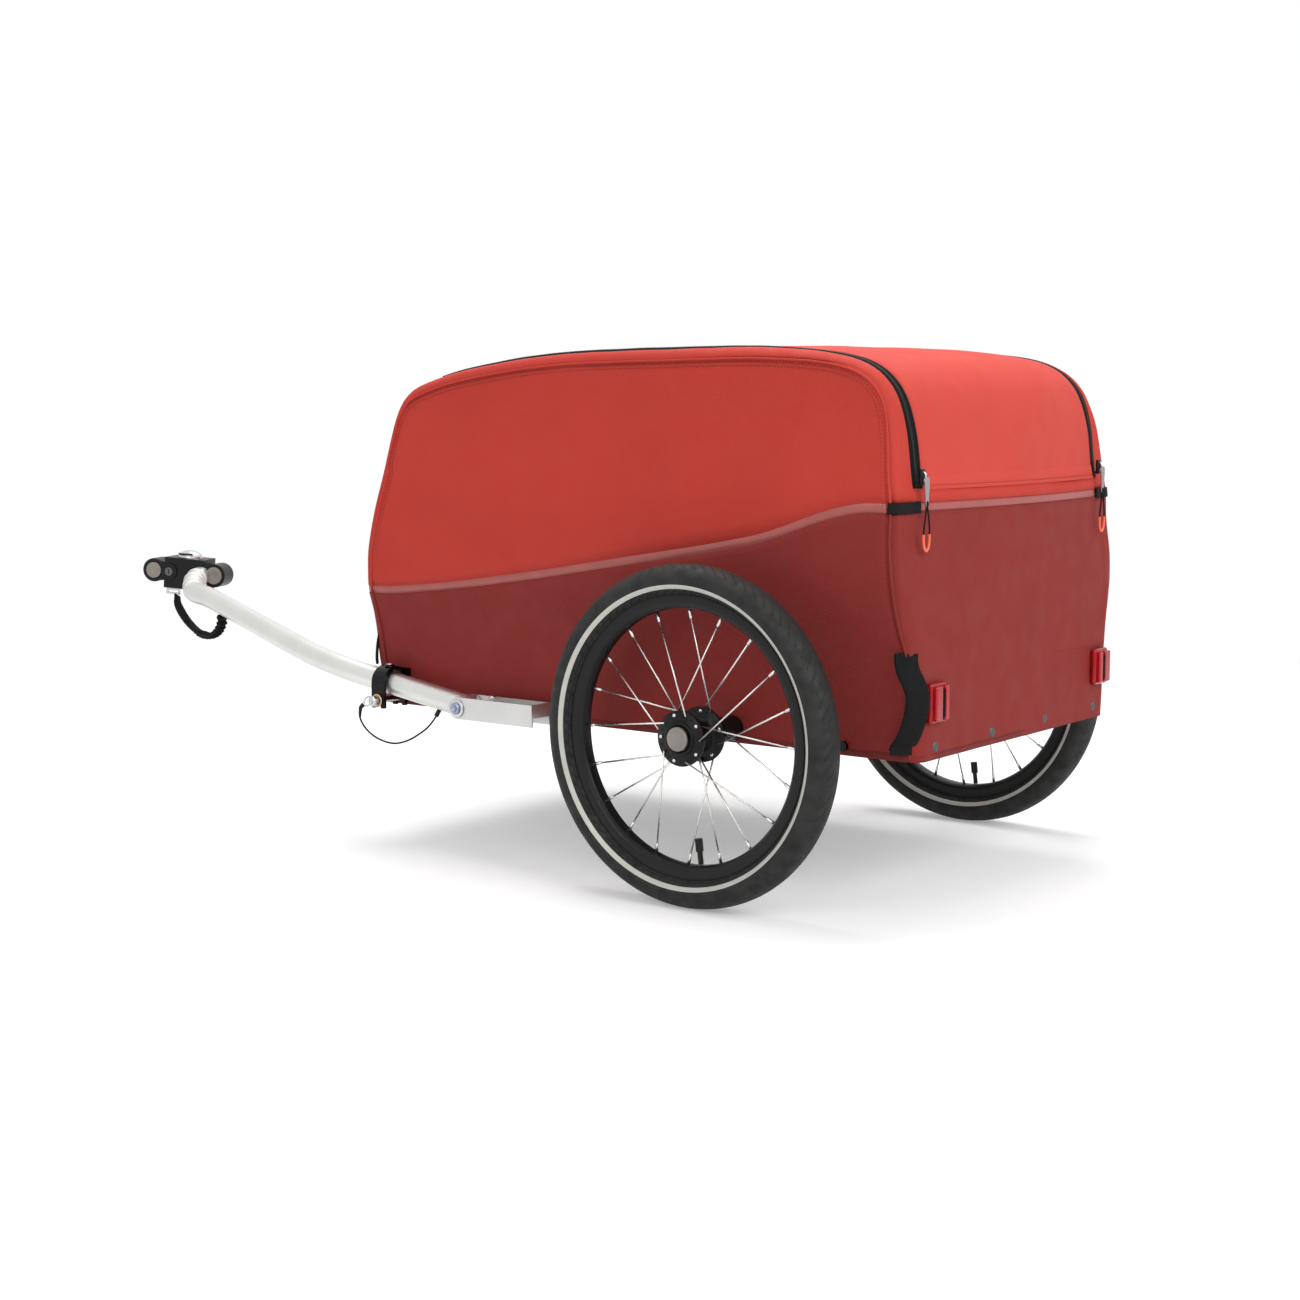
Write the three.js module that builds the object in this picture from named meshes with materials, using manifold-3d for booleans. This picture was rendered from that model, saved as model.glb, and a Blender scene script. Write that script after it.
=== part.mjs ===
// A two-wheeled cargo bike trailer: a fabric box on a tube frame, two spoked wheels,
// and an aluminium tow bar that folds under the floor.
// Millimetres. x runs to the rear, y to the right-hand side, z up, and the ground is z = 0.
import * as THREE from "three";
import { mergeVertices } from "three/addons/utils/BufferGeometryUtils.js";
import Module from "manifold-3d";

const wasm = await Module();
wasm.setup();

// Clearances and shared sizes
const gap = 0.35;
const runningGap = 0.3;
const overrun = 60;
const originAheadOfAxle = 462;

// Wheels
const wheelRadius = 200;
const wheelSegments = 36;
const tyreClearance = 40;
const tyreWidth = 45;
const tyreWall = 3.6;
const tyreSidewallAngle = 115;
const rimBedRadius = 149;
const rimOuterRadius = 165;
const rimWidth = 24;
const rimBedWidth = 15;
const spokeCount = 20;
const spokeRadius = 1;
const hubFlangeRadius = 32.5;
const hubFlangeThickness = 4;
const hubFlangeSpacing = 44;
const hubInset = 5;
const hubBodyRadius = 18;
const hubCollarRadius = 20;
const hubCollarLength = 3;
const hubBoreRadius = 14.3;
const spokeCircleRadius = 27.5;
const bearingWidth = 8;
const bearingRecess = 5;
const valveRadius = 3.2;
const valveCapRadius = 4.6;
const valveLength = 30;
const valveCapLength = 15;
const valveAngle = -83;

// Axles
const axleRadius = 6;
const axleBoreRadius = 3.3;
const axleButtonRadius = 14;
const axleButtonThickness = 3.5;
const axleButtonProud = 2.7;
const axleButtonStemLength = 16;
const receiverRadius = 15;
const receiverToWheel = 54;
const knobRadius = 5.5;
const knobLength = 5;
const knobBehindAxle = 154;
const knobHeight = 193;

// Body: fabric box
const bodyLength = 822;
const bodyWidth = 474;
const bodyBottom = 184;
const bodySideHeight = 460;
const bodyBehindAxle = 250;
const crownRise = 9;
const topEdgeRadius = 12;
const coverWall = 3;
const rearCornerRadius = 28;
const frontCornerRadius = 20;
const frontSwell = 24;
const rearSwell = 6;
const rearBow = 26;
const sideSwell = 28;
const seamFrontHeight = 340;
const seamRearHeight = 472;
const bandHeight = 10;
const zipHalfSpacing = 222;
const zipWidth = 11;
const zipProud = 1.2;
const lidFrontX = -470;
const lidBendX = 140;
const flapOverlap = 15;

// Frame inside the cover
const railWidth = 40;
const railHeight = 20;
const railToCover = 4;
const floorThickness = 5;
const floorLap = 14;
const hoopRadius = 9;
const hoopFromRail = 15;
const crossTubeRadius = 8;
const axleTubeRadius = 9;

// Tow bar
const towTubeRadius = 15;
const pivotBehindFront = 172;
const pivotHeight = 193;
const towOffset = 263.5;
const towRise = 37;
const towRearLength = 240;
const towStraightLength = 210;
const towNeckAhead = 609;
const towNeckInboard = 110;
const towNeckZ = 291;
const bracketLength = 125;
const bracketHeight = 28;
const bracketWall = 3;
const pivotBoltRadius = 5;
const pivotWasherRadius = 12;
const pivotWasherThickness = 2;
const pivotHeadRadius = 7.5;
const pivotHeadThickness = 3;
const saddleBehindFront = 36;
const saddleLength = 22;
const saddleWall = 5;
const saddleLegBelow = 17;
const saddleFoot = 5;
const saddleFootHeight = 12;
const saddleFootRise = 18;
const pinRadius = 4;
const pinBelowTube = 7;
const pinHeadRadius = 7;
const pinHeadLength = 12;
const pinRingRadius = 9;
const lanyardRadius = 1.2;

// Coupler at the front end of the tow bar
const couplerAhead = 715;
const couplerInboard = 152.5;
const couplerZ = 320;
const couplerYaw = 25;
const couplerPitch = 4.5;
const couplerSpan = 98;
const couplerCapRadius = 18;
const couplerCapDepth = 34;
const couplerDepth = 46;
const blockLength = 62;
const blockTop = 22;
const blockBottom = 25;
const socketRadius = 13;
const socketDepth = 22;
const cupRadius = 19;
const cupRise = 33;
const releaseButtonRadius = 12;
const releaseButtonDepth = 10;
const releaseButtonProud = 2;
const releaseTravel = 4;
const lockBossRadius = 13;
const lockRadius = 6.5;
const lockDepth = 14;
const lockFromCap = 26;
const keySlotWidth = 1.6;
const keySlotLength = 7;
const keySlotDepth = 2;
const tubeEndFromCap = 21;
const strapWidth = 16;
const strapThickness = 2.4;
const strapLoopThickness = 3;

// Lamps and small fittings on the rear
const reflectorHeight = 46;
const reflectorWidth = 26;
const reflectorDepth = 9;
const reflectorHalfSpacing = 203;
const reflectorLevel = 248;
const lensProud = 5;
const lensInset = 3;
const rivetRadius = 6.5;
const rivetHeight = 3;
const rivetLevel = 197;
const rivetSpacing = 134;
const cornerStrapWidth = 25;
const cornerStrapThickness = 2;
const cornerStrapTop = 306;
const cornerStrapBottom = 194;
const cornerStrapBulge = 13;
const sliderLength = 18;
const sliderWidth = 10;
const sliderDepth = 6;
const sliderLevel = 500;
const pullRadius = 2;
const pullLength = 80;
const pullSpread = 6;

// Places worked out from the sizes
const bodyFront = bodyBehindAxle - bodyLength;
const bodyHalfWidth = bodyWidth / 2;
const trackHalf = bodyHalfWidth + sideSwell + tyreClearance + tyreWidth / 2;
const pivotAheadOfAxle = -bodyFront - pivotBehindFront;
const saddleAheadOfAxle = -bodyFront - saddleBehindFront;
const bodyTop = bodyBottom + bodySideHeight;
const railBottom = bodyBottom + railToCover;
const railTop = railBottom + railHeight;
const railHalfWidth = bodyHalfWidth - coverWall - railToCover;
const hoopHalfSpacing = railHalfWidth - hoopFromRail;
const railFront = bodyFront + coverWall + railToCover;
const railRear = bodyBehindAxle - coverWall - railToCover;
const hubOuter = hubFlangeSpacing / 2 - hubInset + hubFlangeThickness / 2;
const hubInner = -hubFlangeSpacing / 2 - hubInset - hubFlangeThickness / 2;
const towPivot = new THREE.Vector3(-pivotAheadOfAxle, -towOffset, pivotHeight);
const towNeck = new THREE.Vector3(towPivot.x - towNeckAhead, towPivot.y + towNeckInboard, towNeckZ);
const couplerPlace = new THREE.Vector3(towPivot.x - couplerAhead, towPivot.y + couplerInboard, couplerZ);

// Materials
const finish = (color, roughness, metalness) =>
  new THREE.MeshStandardMaterial({ color, roughness, metalness });
const brightFabric = finish(0xc43e32, 0.85, 0);
const lidFabric = finish(0xd4554a, 0.85, 0);
const darkFabric = finish(0x7a2622, 0.88, 0);
const bandFabric = finish(0x9f4f49, 0.6, 0);
const webbing = finish(0x191a1a, 0.9, 0);
const rubber = finish(0x222222, 0.85, 0);
const blackMetal = finish(0x1b1b1b, 0.4, 0.6);
const blackPlastic = finish(0x18191a, 0.5, 0);
const greyPlastic = finish(0x8d8a85, 0.45, 0.2);
const aluminium = finish(0xdcdcd9, 0.35, 0.9);
const steel = finish(0xb9bcc0, 0.25, 1);
const redLens = finish(0xc8121c, 0.15, 0);
const panelBoard = finish(0x2b2c2e, 0.7, 0);

// Solids and meshes
const trailer = new THREE.Group();

function toSolid(geometry) {
  const bare = geometry.clone();
  bare.deleteAttribute("normal");
  bare.deleteAttribute("uv");
  const merged = mergeVertices(bare);
  return new wasm.Manifold(
    new wasm.Mesh({
      numProp: 3,
      vertProperties: merged.attributes.position.array,
      triVerts: new Uint32Array(merged.index.array),
    }),
  );
}

function toGeometry(solid) {
  const mesh = solid.getMesh();
  const geometry = new THREE.BufferGeometry();
  geometry.setAttribute("position", new THREE.BufferAttribute(mesh.vertProperties, 3));
  geometry.setIndex(new THREE.BufferAttribute(mesh.triVerts, 1));
  geometry.computeVertexNormals();
  return geometry;
}

function piece(name, shape, material, parent = trailer) {
  const geometry = shape.isBufferGeometry ? shape : toGeometry(shape);
  const mesh = new THREE.Mesh(geometry, material);
  mesh.name = name;
  parent.add(mesh);
  return mesh;
}

const join = (first, ...rest) => rest.reduce((sum, solid) => sum.add(solid), first);
const cut = (first, ...rest) => rest.reduce((sum, solid) => sum.subtract(solid), first);

// A box between two corners.
function block(x0, y0, z0, x1, y1, z1) {
  const geometry = new THREE.BoxGeometry(x1 - x0, y1 - y0, z1 - z0);
  geometry.translate((x0 + x1) / 2, (y0 + y1) / 2, (z0 + z1) / 2);
  return toSolid(geometry);
}

// A round bar between two points.
function bar(from, to, radius, sides = 12, endRadius = radius) {
  const way = to.clone().sub(from);
  const geometry = new THREE.CylinderGeometry(endRadius, radius, way.length(), sides);
  const turn = new THREE.Quaternion().setFromUnitVectors(
    new THREE.Vector3(0, 1, 0),
    way.clone().normalize(),
  );
  geometry.applyQuaternion(turn);
  const middle = from.clone().add(to).divideScalar(2);
  geometry.translate(middle.x, middle.y, middle.z);
  return toSolid(geometry);
}

// A turned piece about the y axis, from a closed list of [radius, y] points.
function turned(profile, segments) {
  const points = profile.map(([radius, y]) => new THREE.Vector2(radius, y));
  if (THREE.ShapeUtils.area(points) < 0) points.reverse();
  points.push(points[0].clone());
  return toSolid(new THREE.LatheGeometry(points, segments));
}

// A section carried along a curve.
function along(curve, section, steps) {
  return toSolid(
    new THREE.ExtrudeGeometry(section, { steps, bevelEnabled: false, extrudePath: curve }),
  );
}

function roundSection(radius, sides) {
  const shape = new THREE.Shape();
  for (let i = 0; i < sides; i++) {
    const turn = (2 * Math.PI * i) / sides;
    const x = radius * Math.cos(turn);
    const y = radius * Math.sin(turn);
    if (i === 0) shape.moveTo(x, y);
    else shape.lineTo(x, y);
  }
  return shape;
}

// An outline in the x-z plane carried across y.
function slab(outline, y0, y1) {
  const shape = new THREE.Shape(outline.map(([x, z]) => new THREE.Vector2(x, z)));
  const geometry = new THREE.ExtrudeGeometry(shape, { depth: y1 - y0, bevelEnabled: false });
  geometry.rotateX(Math.PI / 2);
  geometry.translate(0, y1, 0);
  return toSolid(geometry);
}

// A closed skin through rings of equal length, with flat ends.
function loft(rings) {
  const count = rings[0].length;
  const points = rings.flat();
  const index = [];
  for (let r = 0; r + 1 < rings.length; r++) {
    for (let i = 0; i < count; i++) {
      const a = r * count + i;
      const b = r * count + ((i + 1) % count);
      index.push(a, b, b + count, a, b + count, a + count);
    }
  }
  const last = (rings.length - 1) * count;
  for (let i = 1; i + 1 < count; i++) {
    index.push(0, i + 1, i);
    index.push(last, last + i, last + i + 1);
  }
  const geometry = new THREE.BufferGeometry().setFromPoints(points);
  geometry.setIndex(index);
  return toSolid(geometry);
}

// Fabric box: plan sections, then the roof line
// Each row: height share, then shares of the front, rear and side swell and of the rear bow.
const wallShares = [
  [-0.05, 0.2, 0, 0, 0],
  [0, 0.25, 0, 0, 0],
  [0.07, 0.42, 0.05, 0.05, 0],
  [0.17, 0.65, 0.1, 0.12, 0],
  [0.26, 0.66, 0.25, 0.35, 0.15],
  [0.32, 0.68, 0.35, 0.62, 0.3],
  [0.37, 0.54, 0.5, 0.85, 0.45],
  [0.455, 0.35, 0.6, 1, 0.7],
  [0.555, 0.05, 0.8, 0.9, 0.9],
  [0.67, -0.45, 0.95, 0.68, 0.95],
  [0.785, -0.82, 1, 0.4, 0.85],
  [0.89, -1.05, 1, 0.12, 0.75],
  [1.12, -1.25, 1, 0, 0.7],
];
const cornerSteps = 4;
const rearShares = [-0.5, 0, 0.5];

function wallOf([front, rear, side, bow]) {
  return {
    front: bodyFront - front * frontSwell,
    rear: bodyBehindAxle + rear * rearSwell,
    half: bodyHalfWidth + side * sideSwell,
    bow: bow * rearBow,
  };
}

// The plan of the box at one height, between the rows of wallShares.
function wallAt(level) {
  const share = (level - bodyBottom) / bodySideHeight;
  const next = Math.max(1, wallShares.findIndex(([height]) => height >= share));
  const [low, high] = [wallShares[next - 1], wallShares[next]];
  const part = (share - low[0]) / (high[0] - low[0]);
  return wallOf([1, 2, 3, 4].map((i) => low[i] + part * (high[i] - low[i])));
}

function planRing(level, { front, rear, half, bow }, inset) {
  const ring = [];
  const add = (x, y) => {
    const ahead = x > (front + rear) / 2 ? bow * (y / half) ** 2 : 0;
    ring.push(new THREE.Vector3(x - ahead, y, level));
  };
  const corners = [
    [rear - inset, half - inset, rearCornerRadius, 0],
    [front + inset, half - inset, frontCornerRadius, 1],
    [front + inset, -half + inset, frontCornerRadius, 2],
    [rear - inset, -half + inset, rearCornerRadius, 3],
  ];
  for (const [x, y, fullRadius, quarter] of corners) {
    const radius = fullRadius - inset;
    const centreX = x - Math.sign(x - (front + rear) / 2) * radius;
    const centreY = y - Math.sign(y) * radius;
    for (let i = 0; i <= cornerSteps; i++) {
      const turn = ((quarter + i / cornerSteps) * Math.PI) / 2;
      add(centreX + radius * Math.cos(turn), centreY + radius * Math.sin(turn));
    }
  }
  for (const share of rearShares) add(rear - inset, share * (half - rearCornerRadius));
  return ring;
}

function wallBlock(inset) {
  const rings = wallShares.map(([height, ...shares]) =>
    planRing(bodyBottom + height * bodySideHeight, wallOf(shares), inset),
  );
  return loft(rings);
}

// The roof line from front to rear: share of the body's length, share of the side height.
const roofShares = [
  [-0.04, 0.535],
  [-0.003, 0.66],
  [0.019, 0.765],
  [0.043, 0.855],
  [0.068, 0.898],
  [0.11, 0.925],
  [0.2, 0.96],
  [0.32, 0.985],
  [0.46, 0.998],
  [0.62, 1.002],
  [0.74, 1],
  [0.81, 0.995],
  [0.872, 0.985],
  [0.92, 0.968],
  [0.955, 0.938],
  [0.981, 0.885],
  [0.998, 0.79],
  [1.008, 0.68],
  [1.04, 0.56],
];
const roofStationShares = [-1.15, -1, -0.985, -0.965, -0.94, -0.75, -0.45, 0, 0.45, 0.75, 0.94, 0.965, 0.985, 1, 1.15];

const endShare = 0.44;
const bowStart = 0.6;
const bowEnd = 0.95;
const roofBow = 0.7 * rearBow;

function roofDrop(share) {
  const across = Math.min(Math.abs(share), 1);
  const intoEdge = Math.max(0, across * bodyHalfWidth - (bodyHalfWidth - topEdgeRadius));
  const edge = topEdgeRadius - Math.sqrt(topEdgeRadius ** 2 - intoEdge ** 2);
  return crownRise * across ** 2.5 + edge;
}

function roofBlock(inset) {
  const low = bodyBottom - overrun;
  const rings = roofStationShares.map((share) => {
    const y = share * bodyHalfWidth;
    const drop = roofDrop(share) + inset - crownRise;
    const ring = roofShares.map(([back, up]) => {
      const lean = Math.sign(back - 0.5) * (Math.abs(back - 0.5) > endShare ? inset : 0);
      const ahead = roofBow * share ** 2 * THREE.MathUtils.smoothstep(back, bowStart, bowEnd);
      return new THREE.Vector3(
        bodyFront + back * bodyLength - lean - ahead,
        y,
        bodyBottom + up * bodySideHeight - drop,
      );
    });
    ring.unshift(new THREE.Vector3(ring[0].x - overrun, y, ring[0].z - overrun));
    ring.unshift(new THREE.Vector3(ring[0].x, y, low));
    const end = ring[ring.length - 1];
    ring.push(new THREE.Vector3(end.x + overrun, y, end.z - overrun));
    ring.push(new THREE.Vector3(end.x + overrun, y, low));
    return ring;
  });
  return loft(rings);
}

const bodyForm = (inset) => wallBlock(inset).intersect(roofBlock(inset));
const farFront = bodyFront - 2 * overrun;
const farRear = bodyBehindAxle + 2 * overrun;
const farSide = bodyHalfWidth + 2 * overrun;
const farTop = bodyTop + 2 * overrun;

// The colour seam rises towards the rear, then runs level round the rear wall.
const seamShares = [
  [0, 0],
  [0.1, 0.045],
  [0.3, 0.205],
  [0.52, 0.43],
  [0.75, 0.68],
  [0.97, 1],
];

function belowSeam(offset) {
  const rise = seamRearHeight - seamFrontHeight;
  const line = seamShares.map(([share, up]) => [
    bodyFront + share * bodyLength,
    seamFrontHeight + up * rise + offset,
  ]);
  line.unshift([farFront, line[0][1]]);
  line.push([farRear, line[line.length - 1][1]]);
  line.push([farRear, bodyBottom - overrun]);
  line.push([farFront, bodyBottom - overrun]);
  return slab(line.reverse(), -farSide, farSide);
}

function buildBody() {
  const outside = bodyForm(0);
  const inside = bodyForm(coverWall);
  const skin = cut(outside, inside);
  const floorCut = block(farFront, -farSide, bodyBottom - overrun, farRear, farSide, bodyBottom);
  const walls = cut(skin, floorCut);

  const receiverHole = join(
    bar(
      new THREE.Vector3(0, -farSide, wheelRadius),
      new THREE.Vector3(0, farSide, wheelRadius),
      receiverRadius + gap,
      20,
    ),
    block(
      -receiverRadius - gap,
      -farSide,
      bodyBottom - overrun,
      receiverRadius + gap,
      farSide,
      wheelRadius,
    ),
  );
  const lower = cut(walls.intersect(belowSeam(-bandHeight - gap)), receiverHole);
  piece("lower_cover", lower, darkFabric);

  const band = cut(walls, belowSeam(-bandHeight)).intersect(belowSeam(0));
  piece("reflective_band", band, bandFabric);

  const upper = cut(walls, belowSeam(gap));
  const flapEdge = seamRearHeight + flapOverlap;
  const opening = (half) => block(lidFrontX, -half, flapEdge, farRear, half, farTop);
  piece("upper_cover", cut(upper, opening(zipHalfSpacing + zipWidth / 2)), brightFabric);

  const lid = upper.intersect(
    block(
      lidFrontX + gap,
      -zipHalfSpacing + zipWidth / 2,
      flapEdge + gap,
      farRear,
      zipHalfSpacing - zipWidth / 2,
      farTop,
    ),
  );
  const ahead = block(farFront, -farSide, bodyBottom, lidBendX, farSide, farTop);
  const behind = block(lidBendX + gap, -farSide, bodyBottom, farRear, farSide, farTop);
  piece("lid_roof", lid.intersect(ahead), lidFabric);
  piece("lid_rear", lid.intersect(behind), lidFabric);

  const zipSkin = cut(bodyForm(-zipProud), inside);
  for (const [side, sign] of [["left", -1], ["right", 1]]) {
    const middle = sign * zipHalfSpacing;
    const half = zipWidth / 2 - gap;
    const strip = block(
      lidFrontX + gap,
      middle - half,
      flapEdge + gap,
      farRear,
      middle + half,
      farTop,
    );
    piece("zipper_" + side, zipSkin.intersect(strip), webbing);
  }
}

// Frame under and inside the cover
// Each row of the hoop: share from the front leg to the rear leg, share of its height.
const hoopShares = [
  [0, 0],
  [0, 0.27],
  [0.006, 0.69],
  [0.048, 0.9],
  [0.16, 0.95],
  [0.374, 0.984],
  [0.642, 1],
  [0.856, 0.978],
  [0.976, 0.92],
  [1, 0.69],
  [1, 0.27],
  [1, 0],
];
const spreaderShare = 0.69;

function buildFrame() {
  const outer = block(railFront, -railHalfWidth, railBottom, railRear, railHalfWidth, railTop);
  const inner = block(
    railFront + railWidth,
    -railHalfWidth + railWidth,
    railBottom - overrun,
    railRear - railWidth,
    railHalfWidth - railWidth,
    railTop + overrun,
  );
  const rounded = outer.intersect(wallBlock(coverWall + railToCover));
  piece("base_frame", cut(rounded, inner), aluminium);

  const floorGrow = floorLap - railWidth;
  const floor = block(
    railFront - floorGrow,
    -railHalfWidth - floorGrow,
    railTop + gap,
    railRear + floorGrow,
    railHalfWidth + floorGrow,
    railTop + gap + floorThickness,
  );
  piece("floor_panel", floor, panelBoard);

  const crossEnd = railHalfWidth - railWidth - gap;
  const crossHeight = railTop - axleTubeRadius - gap;
  const cross = bar(
    new THREE.Vector3(0, -crossEnd, crossHeight),
    new THREE.Vector3(0, crossEnd, crossHeight),
    axleTubeRadius,
    16,
  );
  piece("axle_cross_tube", cross, aluminium);

  const tubeClear = hoopRadius + coverWall + railToCover;
  const frontLeg = bodyFront + frontCornerRadius + tubeClear - railToCover;
  const rearLeg = bodyBehindAxle - rearBow - rearCornerRadius / 2 - hoopRadius;
  const hoopBase = railTop + gap;
  const ridge = bodyTop - tubeClear - topEdgeRadius / 2;
  for (const [side, sign] of [["left", -1], ["right", 1]]) {
    const y = sign * hoopHalfSpacing;
    const route = hoopShares.map(([back, up]) =>
      new THREE.Vector3(
        frontLeg + back * (rearLeg - frontLeg),
        y,
        hoopBase + up * (ridge - hoopBase),
      ),
    );
    const curve = new THREE.CatmullRomCurve3(route, false, "centripetal");
    const hoop = along(curve, roundSection(hoopRadius, 8), 26);
    const trim = block(farFront, -farSide, bodyBottom, farRear, farSide, hoopBase);
    piece("side_hoop_" + side, cut(hoop, trim), aluminium);
  }

  const spreaderLevel = hoopBase + spreaderShare * (ridge - hoopBase);
  const spreaders = [
    ["front_cross_tube", frontLeg + hoopRadius / 2],
    ["rear_cross_tube", rearLeg],
  ];
  const spreaderEnd = hoopHalfSpacing - hoopRadius - gap;
  for (const [name, x] of spreaders) {
    const tube = bar(
      new THREE.Vector3(x, -spreaderEnd, spreaderLevel),
      new THREE.Vector3(x, spreaderEnd, spreaderLevel),
      crossTubeRadius,
      12,
    );
    piece(name, tube, aluminium);
  }
}

// Wheels, built with the outside facing +y
function tyreSolid() {
  const sectionRadius = tyreWidth / 2;
  const centre = wheelRadius - sectionRadius;
  const sidewallTurn = THREE.MathUtils.degToRad(tyreSidewallAngle);
  const bead = rimOuterRadius + gap;
  const outerSteps = 10;
  const innerSteps = 4;
  const profile = [];
  for (let i = 0; i <= outerSteps; i++) {
    const turn = sidewallTurn * ((2 * i) / outerSteps - 1);
    profile.push([centre + sectionRadius * Math.cos(turn), sectionRadius * Math.sin(turn)]);
  }
  profile.push([bead, rimWidth / 2], [bead, rimWidth / 2 - tyreWall]);
  const innerRadius = sectionRadius - tyreWall;
  for (let i = innerSteps; i >= 0; i--) {
    const turn = sidewallTurn * ((2 * i) / innerSteps - 1);
    profile.push([centre + innerRadius * Math.cos(turn), innerRadius * Math.sin(turn)]);
  }
  profile.push([bead, tyreWall - rimWidth / 2], [bead, -rimWidth / 2]);
  return turned(profile, wheelSegments);
}

function rimSolid() {
  const half = rimWidth / 2;
  const bed = rimBedWidth / 2;
  const seat = (rimBedRadius + rimOuterRadius) / 2;
  const profile = [
    [rimBedRadius, -bed],
    [rimBedRadius, bed],
    [seat, half],
    [rimOuterRadius, half],
    [seat, bed],
    [seat, -bed],
    [rimOuterRadius, -half],
    [seat, -half],
  ];
  return turned(profile, wheelSegments);
}

function hubSolid() {
  const flange = hubFlangeThickness;
  const profile = [
    [hubBoreRadius, hubInner - hubCollarLength],
    [hubBoreRadius, hubOuter + hubCollarLength],
    [hubCollarRadius, hubOuter + hubCollarLength],
    [hubCollarRadius, hubOuter],
    [hubFlangeRadius, hubOuter],
    [hubFlangeRadius, hubOuter - flange],
    [hubBodyRadius, hubOuter - flange],
    [hubBodyRadius, hubInner + flange],
    [hubFlangeRadius, hubInner + flange],
    [hubFlangeRadius, hubInner],
    [hubCollarRadius, hubInner],
    [hubCollarRadius, hubInner - hubCollarLength],
  ];
  let hub = turned(profile, 24);
  const perFlange = spokeCount / 2;
  const step = (2 * Math.PI) / perFlange;
  const polar = (radius, turn, y) =>
    new THREE.Vector3(radius * Math.cos(turn), y, radius * Math.sin(turn));
  for (const [flangeY, offset] of [
    [hubOuter - flange / 2, 0],
    [hubInner + flange / 2, step / 2],
  ]) {
    for (let k = 0; k < perFlange; k++) {
      const holeTurn = k * step + offset;
      const rimTurn = holeTurn + (k % 2 ? -step : step);
      const hole = polar(spokeCircleRadius, holeTurn, flangeY);
      const seat = polar(rimBedRadius - 3 * gap, rimTurn, 0);
      hub = join(hub, bar(hole, seat, spokeRadius, 4));
    }
  }
  return hub;
}

function bearingSolid(y) {
  const inner = axleRadius + runningGap;
  const outer = hubBoreRadius - runningGap;
  return turned(
    [
      [inner, y],
      [outer, y],
      [outer, y + bearingWidth],
      [inner, y + bearingWidth],
    ],
    16,
  );
}

function valveSolid(angle) {
  const turn = THREE.MathUtils.degToRad(angle);
  const at = (radius) =>
    new THREE.Vector3(radius * Math.cos(turn), 0, radius * Math.sin(turn));
  const base = rimBedRadius - 3 * gap;
  const tip = base - valveLength;
  return join(
    bar(at(base), at(tip), valveRadius, 8),
    bar(at(tip + valveCapLength), at(tip), valveCapRadius, 10),
  );
}

function buildWheels() {
  const outerEnd = hubOuter + hubCollarLength;
  const bearingOuter = outerEnd - bearingRecess - bearingWidth;
  const axleEnd = outerEnd - bearingRecess;
  for (const [side, sign] of [["left", -1], ["right", 1]]) {
    const wheel = new THREE.Group();
    wheel.position.set(0, sign * trackHalf, wheelRadius);
    wheel.rotation.z = sign < 0 ? Math.PI : 0;
    trailer.add(wheel);
    piece("tyre_" + side, tyreSolid(), rubber, wheel);
    piece("rim_" + side, rimSolid(), blackMetal, wheel);
    piece("hub_and_spokes_" + side, hubSolid(), blackMetal, wheel);
    piece("valve_" + side, valveSolid(sign < 0 ? 180 - valveAngle : valveAngle), blackPlastic, wheel);
    piece("outer_bearing_" + side, bearingSolid(bearingOuter), steel, wheel);
    piece("inner_bearing_" + side, bearingSolid(hubInner - hubCollarLength), steel, wheel);

    const inboard = railHalfWidth + gap - trackHalf;
    const stub = turned(
      [
        [axleBoreRadius, inboard],
        [axleRadius, inboard],
        [axleRadius, axleEnd],
        [axleBoreRadius, axleEnd],
      ],
      12,
    );
    piece("stub_axle_" + side, stub, steel, wheel);
    const receiver = turned(
      [
        [axleRadius + runningGap, inboard],
        [receiverRadius, inboard],
        [receiverRadius, -receiverToWheel],
        [axleRadius + runningGap, -receiverToWheel],
      ],
      16,
    );
    piece("axle_receiver_" + side, receiver, blackPlastic, wheel);

    const face = outerEnd + axleButtonProud;
    const back = face - axleButtonThickness;
    const button = join(
      bar(
        new THREE.Vector3(0, back, 0),
        new THREE.Vector3(0, face, 0),
        axleButtonRadius,
        24,
      ),
      bar(
        new THREE.Vector3(0, back - axleButtonStemLength, 0),
        new THREE.Vector3(0, back, 0),
        axleBoreRadius - runningGap,
        10,
      ),
    );
    piece("axle_button_" + side, button, greyPlastic, wheel);
  }
}

// Tow bar: bracket, pivot, saddle, pin and tube
function towDirection() {
  return new THREE.Vector3(-towRearLength, 0, towRise).normalize();
}

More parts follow.
